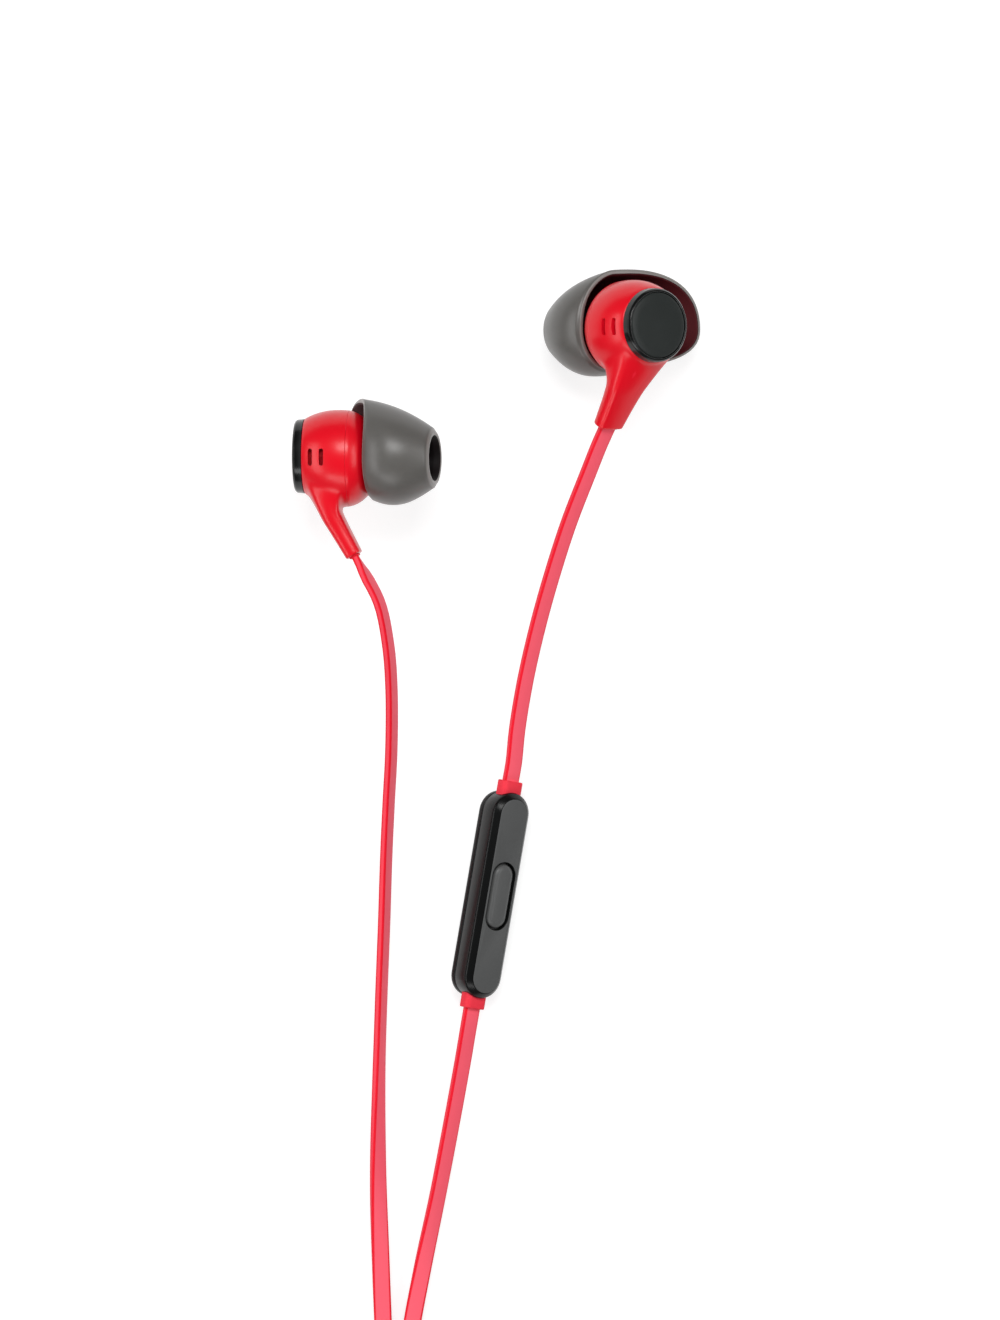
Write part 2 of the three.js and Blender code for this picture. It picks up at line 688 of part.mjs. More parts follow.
/** The silicone tip: one skin from the mouth to the hood's rim, and a sleeve on the nozzle. */
function earTip() {
  const mouth = -(NOZZLE_LENGTH + TIP_AHEAD);
  const bore = BARB_RADIUS + SLIDE_GAP;
  const sleeve = bore + SLEEVE_WALL;
  const front = 2.2 * TIP_WALL;
  const outlineAt = (angle) => {
    const rim = rimDepth(angle);
    const skin = (share) => [tipRadius(angle, rim * share), rim * share];
    const lining = (share) => {
      const depth = Math.max(front, rim * share);
      return [tipRadius(angle, depth) - TIP_WALL, depth];
    };
    const edge = tipRadius(angle, rim);
    const outline = [
      [TIP_MOUTH_RADIUS - 0.5, 0],
      [TIP_MOUTH_RADIUS, 0.5],
      ...[0.12, 0.25, 0.4, 0.55, 0.7, 0.85].map(skin),
      [edge, rim - 0.3 * TIP_WALL],
      [edge - TIP_WALL / 2, rim],
      [edge - TIP_WALL, rim - 0.3 * TIP_WALL],
      ...[0.8, 0.6, 0.4, 0.2].map(lining),
      [sleeve, front],
      [sleeve, SLEEVE_LENGTH],
      [bore, SLEEVE_LENGTH],
      [bore, 1],
      [TIP_MOUTH_BORE, 0],
    ];
    return [...outline, outline[0]].map(([radius, depth]) => [radius, mouth + depth]);
  };
  return turned(outlineAt, 26).rotateY(coneAngle);
}

/** The mesh disc in the nozzle's mouth. */
function nozzleMesh() {
  const low = -NOZZLE_LENGTH + MESH_SEAT_DEPTH - FIT - MESH_THICKNESS;
  return drum(NOZZLE_BORE_RADIUS + FIT, low, low + MESH_THICKNESS, 16).rotateY(coneAngle);
}

/** The grommet in the stem's end that the cable leaves. */
function cableAnchor() {
  const size = [ANCHOR_WIDTH, ANCHOR_THICKNESS];
  return stemBar([[-SLIDE_GAP, ...size], [ANCHOR_LENGTH - SLIDE_GAP, ...size]], 0.4);
}

/** One earpiece, set on the surface with its tip's or hood's lowest point. */
function earpiece(side, place, turn, mirrored) {
  const group = new THREE.Group();
  const add = (name, shape, material) => group.add(part(`${side}_${name}`, shape, material));
  add("ear_tip", earTip(), silicone);
  add("nozzle_housing", nozzleHousing(), redGloss);
  add("stem_housing", stemHousing(), redGloss);
  add("face_cap", faceCap(), blackGloss);
  add("face_plate", facePlate(), darkDisc);
  add("driver_frame", driverFrame(), steel);
  const magnetFoot = driverFloor + 0.05;
  add("driver_magnet", drum(MAGNET_RADIUS, magnetFoot, magnetFoot + MAGNET_HEIGHT, 16), steel);
  add("driver_diaphragm", driverDiaphragm(), film);
  add("nozzle_mesh", nozzleMesh(), steel);
  add("vent_mesh", ventMesh(), insulator);
  add("cable_anchor", cableAnchor(), redCable);
  group.scale.x = mirrored ? -1 : 1;
  group.rotation.y = THREE.MathUtils.degToRad(turn);
  group.position.set(...place, 0);
  group.position.z = -new THREE.Box3().setFromObject(group, true).min.z;
  group.updateMatrixWorld(true);
  return group;
}

/** The gate where an earpiece's cable leaves its anchor. */
function stemGate(group) {
  const end = group.localToWorld(stemFrame(-SLIDE_GAP).centre);
  const inner = group.localToWorld(stemFrame(1).centre);
  const outward = new THREE.Vector3(0, 0, 1).transformDirection(group.matrixWorld);
  const out = end.clone().sub(inner).normalize();
  const turn = rollTowards(out, outward);
  return { place: end, out, roll: turn < 0 ? turn + 180 : turn };
}

// --- in-line pieces -------------------------------------------------------------------------

/** Stands a piece built with +Y against the cable's run and +Z as its face into the scene. */
function alongCord(group, run, roll, centre, middle) {
  const { side, face } = cordFrame(run, roll);
  const basis = new THREE.Matrix4().makeBasis(side, run.clone().negate(), face);
  group.quaternion.setFromRotationMatrix(basis);
  const offset = new THREE.Vector3(0, 0, middle).applyQuaternion(group.quaternion);
  group.position.set(centre.x - offset.x, centre.y - offset.y, 0);
  group.position.z = -new THREE.Box3().setFromObject(group, true).min.z;
  group.updateMatrixWorld(true);
  return group;
}

/** A gate at a place in a group's frame, where a cable leaves along the group's Y. */
function gateOf(group, x, y, z, sign) {
  const place = group.localToWorld(new THREE.Vector3(x, y, z));
  const out = new THREE.Vector3(0, sign, 0).transformDirection(group.matrixWorld);
  return { place, out };
}

/** A red collar about the cable, at the end of a case at `y`, pointing along `sign` Y. */
function collar(x, y, middle, sign) {
  const from = y - sign * COLLAR_SUNK;
  const size = slab(COLLAR_WIDTH, COLLAR_THICKNESS, 0.9, eased(0, COLLAR_LENGTH, 0.2), 2);
  return size.rotateX(-sign * Math.PI / 2).translate(x, from, middle);
}

/** The notch that takes a collar's sunk end. */
function collarNotch(x, y, middle, sign) {
  const reach = 2 * COLLAR_LENGTH;
  const centre = y + sign * (reach / 2 - COLLAR_SUNK - FIT);
  const size = [COLLAR_WIDTH + 2 * FIT, reach, COLLAR_THICKNESS + 2 * FIT];
  return toSolid(box(...size, x, centre, middle));
}

const controlMiddle = (CONTROL_FRONT_HEIGHT - CONTROL_BACK_HEIGHT) / 2;
const controlEnd = CONTROL_LENGTH / 2;

/** A plate of the controller's stadium form, drawn in by `inset`. */
function controlSlab(inset, layers) {
  const width = CONTROL_WIDTH - 2 * inset;
  return slab(width, CONTROL_LENGTH - 2 * inset, width / 2, layers, 5);
}

/** Both collar notches of the controller. */
const controlNotches = () =>
  collarNotch(0, controlEnd, controlMiddle, 1).add(
    collarNotch(0, -controlEnd, controlMiddle, -1),
  );

/** The chamfered front half, with openings for the button and the microphone. */
function controlFront() {
  const roof = CONTROL_FRONT_HEIGHT - CONTROL_WALL;
  const shoulder = CONTROL_FRONT_HEIGHT - CONTROL_CHAMFER;
  const layers = [[SEAM_GAP / 2, 0], [shoulder, 0], [CONTROL_FRONT_HEIGHT, CONTROL_CHAMFER]];
  const width = BUTTON_WIDTH + 2 * SLIDE_GAP;
  const length = BUTTON_LENGTH + 2 * SLIDE_GAP;
  const window = slab(width, length, width / 2, [[0, 0], [CONTROL_FRONT_HEIGHT + 1, 0]], 5);
  const port = drum(MIC_PORT_RADIUS, 0, CONTROL_WIDTH, 8).rotateY(Math.PI / 2);
  port.translate(0, MIC_PLACE, MIC_PORT_HEIGHT);
  return toSolid(controlSlab(0, layers))
    .subtract(toSolid(controlSlab(CONTROL_WALL, [[-1, 0], [roof, 0]])))
    .subtract(toSolid(window))
    .subtract(toSolid(port))
    .subtract(controlNotches());
}

const boardFoot = -0.5;
const boardTop = boardFoot + BOARD_THICKNESS;

/** The shallow back half, with a recess for the board. */
function controlBack() {
  const back = -CONTROL_BACK_HEIGHT;
  const edge = 0.45 * CONTROL_BACK_HEIGHT;
  const layers = [[back, edge], [back + edge, 0], [-SEAM_GAP / 2, 0]];
  const recess = controlSlab(CONTROL_WALL, [[boardFoot - FIT, 0], [1, 0]]);
  return toSolid(controlSlab(0, layers)).subtract(toSolid(recess)).subtract(controlNotches());
}

const switchTop = boardTop + 1.4;
const flangeFoot = CONTROL_FRONT_HEIGHT - CONTROL_WALL - SLIDE_GAP - BUTTON_FLANGE;

/** The pill button, with a flange behind the wall and a nub over the switch. */
function controlButton() {
  const flange = flangeFoot + BUTTON_FLANGE;
  const top = CONTROL_FRONT_HEIGHT + BUTTON_PROUD;
  const width = BUTTON_WIDTH + 1.0;
  const plate = slab(width, BUTTON_LENGTH + 1.2, width / 2, [[flangeFoot, 0], [flange, 0]], 4);
  const layers = [[flange - 0.1, 0], [top - 0.3, 0], [top, 0.3]];
  const face = slab(BUTTON_WIDTH, BUTTON_LENGTH, BUTTON_WIDTH / 2, layers, 5);
  const nub = drum(0.8, switchTop + BUTTON_TRAVEL + 0.1, flangeFoot + 0.1, 12);
  return toSolid(plate).add(toSolid(face)).add(toSolid(nub));
}

/** The in-line controller. */
function controller() {
  const group = new THREE.Group();
  const add = (name, shape, material) => group.add(part(`control_${name}`, shape, material));
  const board = slab(BOARD_WIDTH, BOARD_LENGTH, 1.5, [[boardFoot, 0], [boardTop, 0]], 3);
  const clickFoot = boardTop + FIT;
  const micZ = clickFoot + MIC_HEIGHT / 2;
  const clickZ = (clickFoot + switchTop) / 2;
  const click = box(SWITCH_SIZE, SWITCH_SIZE, switchTop - clickFoot, 0, 0, clickZ);
  add("front_shell", controlFront(), blackShell);
  add("back_shell", controlBack(), blackShell);
  add("button", controlButton(), greyButton);
  add("board", board, circuit);
  add("switch", click, steel);
  add("mic", box(MIC_WIDTH, MIC_LENGTH, MIC_HEIGHT, 0, MIC_PLACE, micZ), steel);
  add("collar_top", collar(0, controlEnd, controlMiddle, 1), redCable);
  add("collar_bottom", collar(0, -controlEnd, controlMiddle, -1), redCable);
  const heading = THREE.MathUtils.degToRad(CONTROL_HEADING);
  const run = new THREE.Vector3(Math.cos(heading), Math.sin(heading), 0);
  return alongCord(group, run, CONTROL_ROLL, CONTROL_CENTRE, controlMiddle);
}

const splitterEnd = SPLITTER_LENGTH / 2;
const splitterMiddle = SPLITTER_HEIGHT / 2;
const collarFace = COLLAR_LENGTH - COLLAR_SUNK;

/** The splitter: two shells, two collars for the earpieces' cables and one for the main one. */
function splitter() {
  const group = new THREE.Group();
  const add = (name, shape, material) => group.add(part(`splitter_${name}`, shape, material));
  const places = [
    [-SPLITTER_PITCH / 2, 1],
    [SPLITTER_PITCH / 2, 1],
    [0, -1],
  ];
  const notches = places.map(([x, sign]) => collarNotch(x, sign * splitterEnd, splitterMiddle, sign));
  const shell = (layers) => {
    const whole = toSolid(slab(SPLITTER_WIDTH, SPLITTER_LENGTH, SPLITTER_CORNER, layers));
    return notches.reduce((solid, notch) => solid.subtract(notch), whole);
  };
  const edge = SPLITTER_CHAMFER;
  const seam = SPLITTER_HEIGHT * 0.4;
  const backLayers = [[0, edge], [edge, 0], [seam - SEAM_GAP / 2, 0]];
  const shoulder = SPLITTER_HEIGHT - edge;
  const frontLayers = [[seam + SEAM_GAP / 2, 0], [shoulder, 0], [SPLITTER_HEIGHT, edge]];
  add("front_shell", shell(frontLayers), blackShell);
  add("back_shell", shell(backLayers), blackShell);
  ["collar_right", "collar_left", "collar_main"].forEach((name, i) => {
    const [x, sign] = places[i];
    add(name, collar(x, sign * splitterEnd, splitterMiddle, sign), redCable);
  });
  const run = new THREE.Vector3(0, -1, 0);
  return alongCord(group, run, 0, SPLITTER_CENTRE, splitterMiddle);
}

// --- plug -----------------------------------------------------------------------------------

/** Turns a solid built up +Z so that it points along -X. */
const sideways = (geometry) => geometry.rotateY(-Math.PI / 2);

/** The right-angled grip, with a flat shoulder round the pin. */
function plugGrip() {
  const rounded = (low, high) => [
    [0, low],
    [GRIP_RADIUS - GRIP_EDGE, low],
    [GRIP_RADIUS, low + GRIP_EDGE],
    [GRIP_RADIUS, high - GRIP_EDGE],
    [GRIP_RADIUS - GRIP_EDGE, high],
    [0, high],
  ];
  const arm = lathe(rounded(-GRIP_RADIUS, GRIP_LENGTH), 24).rotateX(-Math.PI / 2);
  const neck = sideways(lathe(rounded(0, GRIP_NECK), 24));
  const socket = sideways(drum(PIN_RADIUS + FIT, GRIP_NECK - PIN_ROOT - FIT, GRIP_NECK + 1, 16));
  const core = sideways(drum(PIN_CORE_RADIUS + FIT, GRIP_NECK - 2 * PIN_ROOT, GRIP_NECK, 12));
  return toSolid(arm).add(toSolid(neck)).subtract(toSolid(socket)).subtract(toSolid(core));
}

/** The tapered relief between the grip and the cable. */
function plugRelief() {
  const steps = 3;
  const width = CORD_WIDTH + 2 * RELIEF_SIDE_WALL;
  const thick = CORD_THICKNESS + 2 * RELIEF_FACE_WALL;
  const options = { depth: steps, steps, bevelEnabled: false, curveSegments: 3 };
  const shape = roundedRect(width, thick, RELIEF_SIDE_WALL);
  return reshape(new THREE.ExtrudeGeometry(shape, options), ({ x, y, z }) => {
    const share = 1 - (0.3 * z) / steps;
    return [x * share, y * share, (z / steps) * RELIEF_LENGTH];
  }).rotateX(-Math.PI / 2).translate(0, GRIP_LENGTH + FIT, 0);
}

/** The pin's contacts as [name, start, end] along its axis, from the shoulder. */
function pinContacts() {
  const lower = PIN_SLEEVE_LENGTH + PIN_GAP;
  const upper = lower + PIN_RING_LENGTH + PIN_GAP;
  return [
    ["sleeve", -PIN_ROOT, PIN_SLEEVE_LENGTH],
    ["ring_lower", lower, lower + PIN_RING_LENGTH],
    ["ring_upper", upper, upper + PIN_RING_LENGTH],
  ];
}

/** The insulating core, with a flange in each gap between two contacts. */
function pinCore() {
  const flange = PIN_RADIUS - 0.1;
  const outline = [[0, -PIN_ROOT - 1], [PIN_CORE_RADIUS, -PIN_ROOT - 1]];
  for (const [, , end] of pinContacts()) {
    const [low, high] = [end + FIT, end + PIN_GAP - FIT];
    outline.push([PIN_CORE_RADIUS, low], [flange, low], [flange, high], [PIN_CORE_RADIUS, high]);
  }
  const top = PIN_LENGTH - 1.6;
  return lathe([...outline, [PIN_CORE_RADIUS, top], [0, top]], 12);
}

/** The pin's tip, with its neck and its bore over the core. */
function pinTip() {
  const start = pinContacts()[2][2] + PIN_GAP;
  const bore = PIN_CORE_RADIUS + FIT;
  return lathe([
    [0, PIN_LENGTH - 1.4],
    [bore, PIN_LENGTH - 1.4],
    [bore, start],
    [PIN_RADIUS, start],
    [PIN_RADIUS, start + 0.4],
    [PIN_RADIUS - 0.5, start + 1.1],
    [PIN_RADIUS - 0.1, PIN_LENGTH - 1.5],
    [PIN_RADIUS - 0.6, PIN_LENGTH - 0.5],
    [0.4, PIN_LENGTH],
    [0, PIN_LENGTH],
  ], 16);
}

/** The plug, with its cable arriving from +Y. */
function plug() {
  const group = new THREE.Group();
  const add = (name, shape, material) => group.add(part(`plug_${name}`, shape, material));
  const onPin = (geometry) => sideways(geometry.translate(0, 0, GRIP_NECK));
  add("grip", plugGrip(), blackShell);
  add("relief", plugRelief(), redCable);
  for (const [name, low, high] of pinContacts())
    add(name, onPin(tube(PIN_CORE_RADIUS + FIT, PIN_RADIUS, low, high, 16)), contact);
  add("tip", onPin(pinTip()), contact);
  add("core", onPin(pinCore()), insulator);
  return alongCord(group, new THREE.Vector3(0, 1, 0), 0, PLUG_CENTRE, 0);
}

// --- coil -----------------------------------------------------------------------------------

const coilLow = STRAP_THICKNESS + JOINT_GAP + CORD_WIDTH / 2;
const COIL_START = Math.PI;

/** A point of the coil at a number of turns from its outer, lower end. */
function coilPoint(turns) {
  const half = COIL_TURNS / 2;
  const angle = COIL_START + turns * 2 * Math.PI;
  const radius = COIL_RADIUS - COIL_PITCH * Math.min(turns, COIL_TURNS - turns);
  const climb = THREE.MathUtils.smoothstep(turns, half - 0.25, half + 0.25);
  return new THREE.Vector3(
    COIL_CENTRE.x + radius * Math.cos(angle),
    COIL_CENTRE.y + radius * Math.sin(angle),
    coilLow + COIL_LAYER_STEP * climb,
  );
}

/** The coil's stations: each end runs straight for one width before the turns begin. */
function coilStations() {
  const count = Math.round(COIL_TURNS * COIL_STEPS_PER_TURN);
  const turns = Array.from({ length: count + 1 }, (_, i) => (COIL_TURNS * i) / count);
  const points = turns.map(coilPoint);
  const level = (angle, sign) =>
    new THREE.Vector3(Math.sin(angle), -Math.cos(angle), 0).multiplyScalar(sign);
  const endAngle = COIL_START + COIL_TURNS * 2 * Math.PI;
  points.unshift(points[0].clone().addScaledVector(level(COIL_START, 1), CORD_WIDTH));
  points.push(points.at(-1).clone().addScaledVector(level(endAngle, -1), CORD_WIDTH));
  const last = points.length - 1;
  return points.map((origin, i) => {
    const before = points[Math.max(0, i === last ? last - 1 : i - 1)];
    const after = points[Math.min(last, i === 0 ? 1 : i + 1)];
    const run = after.clone().sub(before).normalize();
    return { origin, ...cordFrame(run, 90) };
  });
}

/** The least gap between the coil's turns, measured on the corners of their sections. */
function coilGap(stations) {
  const [x, y] = [CORD_WIDTH / 2, CORD_THICKNESS / 2];
  const corners = stations.map(({ origin, side, face }) =>
    [[x, 0], [-x, 0], [x - y, y], [y - x, y], [x - y, -y], [y - x, -y]].map(([a, b]) =>
      origin.clone().addScaledVector(side, a).addScaledVector(face, b),
    ),
  );
  let least = Infinity;
  corners.forEach((here, i) =>
    corners.slice(i + COIL_STEPS_PER_TURN / 2).forEach((there) =>
      here.forEach((p) => there.forEach((q) => (least = Math.min(least, p.distanceTo(q))))),
    ),
  );
  return least;
}

/** The strap round the bundle, at the side of the coil away from the splitter. */
function coilStrap() {
  const least = COIL_RADIUS - (COIL_PITCH * COIL_TURNS + CORD_THICKNESS) / 2;
  const near = Math.sqrt(least ** 2 - (STRAP_WIDTH / 2) ** 2) - JOINT_GAP;
  const far = COIL_RADIUS + CORD_THICKNESS / 2 + JOINT_GAP;
  const inner = far - near;
  const height = COIL_LAYER_STEP + CORD_WIDTH + 2 * JOINT_GAP;
  const outline = roundedRect(inner + 2 * STRAP_THICKNESS, height + 2 * STRAP_THICKNESS, 1.4);
  outline.holes.push(roundedRect(inner, height, 0.6));
  const options = { depth: STRAP_WIDTH, bevelEnabled: false, curveSegments: 3 };
  const geometry = new THREE.ExtrudeGeometry(outline, options);
  geometry.translate(0, 0, -STRAP_WIDTH / 2).rotateX(Math.PI / 2).rotateZ(-Math.PI / 2);
  return geometry.translate(
    COIL_CENTRE.x,
    COIL_CENTRE.y - (near + far) / 2,
    STRAP_THICKNESS + height / 2,
  );
}

// --- assembly -------------------------------------------------------------------------------

const earphones = new THREE.Group();
const left = earpiece("left", LEFT_PLACE, LEFT_TURN, false);
const right = earpiece("right", RIGHT_PLACE, RIGHT_TURN, true);
const control = controller();
const split = splitter();
const jack = plug();
const coil = coilStations();

const leftGate = stemGate(left);
const rightGate = stemGate(right);
const controlReach = controlEnd + collarFace;
const splitReach = splitterEnd + collarFace;
const controlTop = gateOf(control, 0, controlReach, controlMiddle, 1);
const controlLow = gateOf(control, 0, -controlReach, controlMiddle, -1);
const splitRight = gateOf(split, -SPLITTER_PITCH / 2, splitReach, splitterMiddle, 1);
const splitLeft = gateOf(split, SPLITTER_PITCH / 2, splitReach, splitterMiddle, 1);
const splitMain = gateOf(split, 0, -splitReach, splitterMiddle, -1);
const coilIn = { place: coil[0].origin, out: coil[0].run.clone().negate() };
const coilOut = { place: coil.at(-1).origin, out: coil.at(-1).run };
const plugIn = gateOf(jack, 0, GRIP_LENGTH + FIT + RELIEF_LENGTH, 0, 1);

earphones.add(
  left,
  right,
  control,
  split,
  jack,
  freeCord("right_cord", rightGate, RIGHT_ROUTE, splitRight, [
    [0, rightGate.roll],
    [0.2, CORD_LEAN],
    [0.6, CORD_LEAN],
    [1, 0],
  ]),
  freeCord("left_cord_upper", leftGate, LEFT_UPPER_ROUTE, controlTop, [
    [0, leftGate.roll],
    [1, CONTROL_ROLL],
  ]),
  freeCord("left_cord_lower", controlLow, LEFT_LOWER_ROUTE, splitLeft, [
    [0, CONTROL_ROLL],
    [0.5, CONTROL_ROLL],
    [1, 0],
  ]),
  freeCord("main_cord_lead", splitMain, LEAD_ROUTE, coilIn, [[0, 0], [1, 90]]),
  part("main_cord_coil", cordSolid(coil, 6), redCable),
  freeCord("main_cord_tail", coilOut, TAIL_ROUTE, plugIn, [[0, 90], [1, 0]]),
  part("cord_tie", coilStrap(), strap),
);

const earpieces = new THREE.Box3().setFromObject(left, true).expandByObject(right, true);
const middle = earpieces.getCenter(new THREE.Vector3());
earphones.position.set(-middle.x, -middle.y, 0);

console.log(`least gap between the coil's turns: ${coilGap(coil).toFixed(2)} mm`);

export default earphones;
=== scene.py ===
"""Wired in-ear earphones with hooded tips, a flat cable, an in-line button, a splitter and a plug.

Every piece is shaped on the bench in millimetres, in its sub-assembly's own directions, and is
then set in place in metres. An earpiece's X points to the rear of the ear, its Y up along the
ear and its Z outwards, along the axis of its face disc.
"""

from __future__ import annotations

import logging
import math
from collections.abc import Callable, Iterable, Sequence
from dataclasses import dataclass, field
from enum import Enum
from typing import ClassVar

import bmesh
import bpy
from mathutils import Matrix, Vector


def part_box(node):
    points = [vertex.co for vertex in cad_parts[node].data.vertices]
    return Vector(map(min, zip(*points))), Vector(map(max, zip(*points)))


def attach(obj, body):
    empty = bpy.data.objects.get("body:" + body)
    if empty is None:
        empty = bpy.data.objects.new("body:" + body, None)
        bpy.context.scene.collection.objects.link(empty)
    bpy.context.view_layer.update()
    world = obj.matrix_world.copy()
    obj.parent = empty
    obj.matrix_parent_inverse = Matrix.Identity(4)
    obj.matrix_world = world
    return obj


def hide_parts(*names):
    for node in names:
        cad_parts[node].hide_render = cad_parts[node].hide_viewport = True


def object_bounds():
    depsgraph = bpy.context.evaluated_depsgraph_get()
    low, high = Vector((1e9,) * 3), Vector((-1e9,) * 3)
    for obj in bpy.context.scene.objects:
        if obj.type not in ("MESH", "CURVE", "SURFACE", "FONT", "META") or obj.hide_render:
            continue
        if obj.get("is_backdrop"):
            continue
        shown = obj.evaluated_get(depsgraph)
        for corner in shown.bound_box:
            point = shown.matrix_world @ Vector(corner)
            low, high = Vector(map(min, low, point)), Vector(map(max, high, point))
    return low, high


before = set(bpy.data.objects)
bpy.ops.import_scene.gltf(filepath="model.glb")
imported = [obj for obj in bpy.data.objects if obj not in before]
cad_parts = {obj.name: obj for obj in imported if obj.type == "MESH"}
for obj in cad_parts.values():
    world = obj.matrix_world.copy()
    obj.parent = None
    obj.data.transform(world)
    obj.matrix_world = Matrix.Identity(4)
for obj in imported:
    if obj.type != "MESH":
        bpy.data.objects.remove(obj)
CAD_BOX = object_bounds()

LOG = logging.getLogger("earphones")
MM = 0.001
UP = Vector((0.0, 0.0, 1.0))
WHITE = (1.0, 1.0, 1.0, 1.0)

# Clouds of noise in a metre, and the finer layers in each kind of noise.
CLOUD_SCALE = 210.0
CLOUD_DETAIL = 4.0
GRAIN_DETAIL = 2.0
SCRATCH_DETAIL = 6.0

# Steps of a route's curve between two of its points.
ROUTE_FINENESS = 40

# How near a point lies to the height or radius that it belongs to, in millimetres.
CLOSE = 0.01

Outline = Sequence[tuple[float, float]]
Point = tuple[float, float, float]


# --- small sums ------------------------------------------------------------------------------


def lerp(start: float, end: float, share: float) -> float:
    """The value at a share of the way from start to end."""
    return start + (end - start) * share


def smoothstep(value: float, low: float, high: float) -> float:
    """An S-shaped rise from 0 at low to 1 at high."""
    share = min(1.0, max(0.0, (value - low) / (high - low)))
    return share * share * (3.0 - 2.0 * share)


def reading(table: Sequence[tuple[float, float]], share: float) -> float:
    """The value at a share from a table, straight between its rows.

    Args:
        table: Rows of share and value, in order.
        share: The share to look up.

    Returns:
        The value there.
    """
    for (low, start), (high, end) in zip(table, table[1:]):
        if share <= high:
            return lerp(start, end, max(0.0, share - low) / (high - low))
    return table[-1][1]


# --- places ----------------------------------------------------------------------------------


@dataclass(frozen=True)
class Place:
    """Where a sub-assembly lies: its origin in metres and its three directions."""

    origin: Point
    x: Point
    y: Point
    z: Point

    def matrix(self) -> Matrix:
        """The way from the bench's millimetres to the scene's metres."""
        turn = Matrix((self.x, self.y, self.z)).transposed().to_4x4()
        return Matrix.Translation(self.origin) @ turn @ Matrix.Scale(MM, 4)

    def point(self, x: float, y: float, z: float) -> Vector:
        """A bench point in the scene, in metres."""
        return self.matrix() @ Vector((x, y, z))

    def way(self, x: float, y: float, z: float) -> Vector:
        """A bench direction in the scene, one long."""
        return (self.matrix().to_3x3() @ Vector((x, y, z))).normalized()


LEFT_PLACE = Place(
    (0.022374, 0.014440, 0.014213),
    (0.80902, 0.0, -0.58779),
    (0.0, 1.0, 0.0),
    (0.58779, 0.0, 0.80902),
)
RIGHT_PLACE = Place(
    (-0.025626, -0.007460, 0.014187),
    (0.09585, 0.0, -0.99540),
    (0.0, 1.0, 0.0),
    (-0.99540, 0.0, -0.09585),
)
CONTROL_PLACE = Place(
    (-0.001718, -0.081124, 0.002908),
    (0.80744, -0.13802, -0.57358),
    (0.16849, 0.98570, 0.0),
    (0.56538, -0.09664, 0.81915),
)
SPLITTER_PLACE = Place(
    (-0.016926, -0.168460, 0.0),
    (1.0, 0.0, 0.0),
    (0.0, 1.0, 0.0),
    (0.0, 0.0, 1.0),
)
PLUG_PLACE = Place(
    (0.025074, -0.165460, 0.0035),
    (-1.0, 0.0, 0.0),
    (0.0, -1.0, 0.0),
    (0.0, 0.0, 1.0),
)
IN_PLACE = Place((0.0, 0.0, 0.0), (1.0, 0.0, 0.0), (0.0, 1.0, 0.0), (0.0, 0.0, 1.0))
ROUTE_SHIFT = Vector((0.574, -41.46, 0.0))


class Body(Enum):
    """The moving bodies that pieces ride on."""

    EARPHONES = "earphones"
    LEFT_TIP = "left_tip"
    RIGHT_TIP = "right_tip"
    BUTTON = "button"


# --- finishes --------------------------------------------------------------------------------


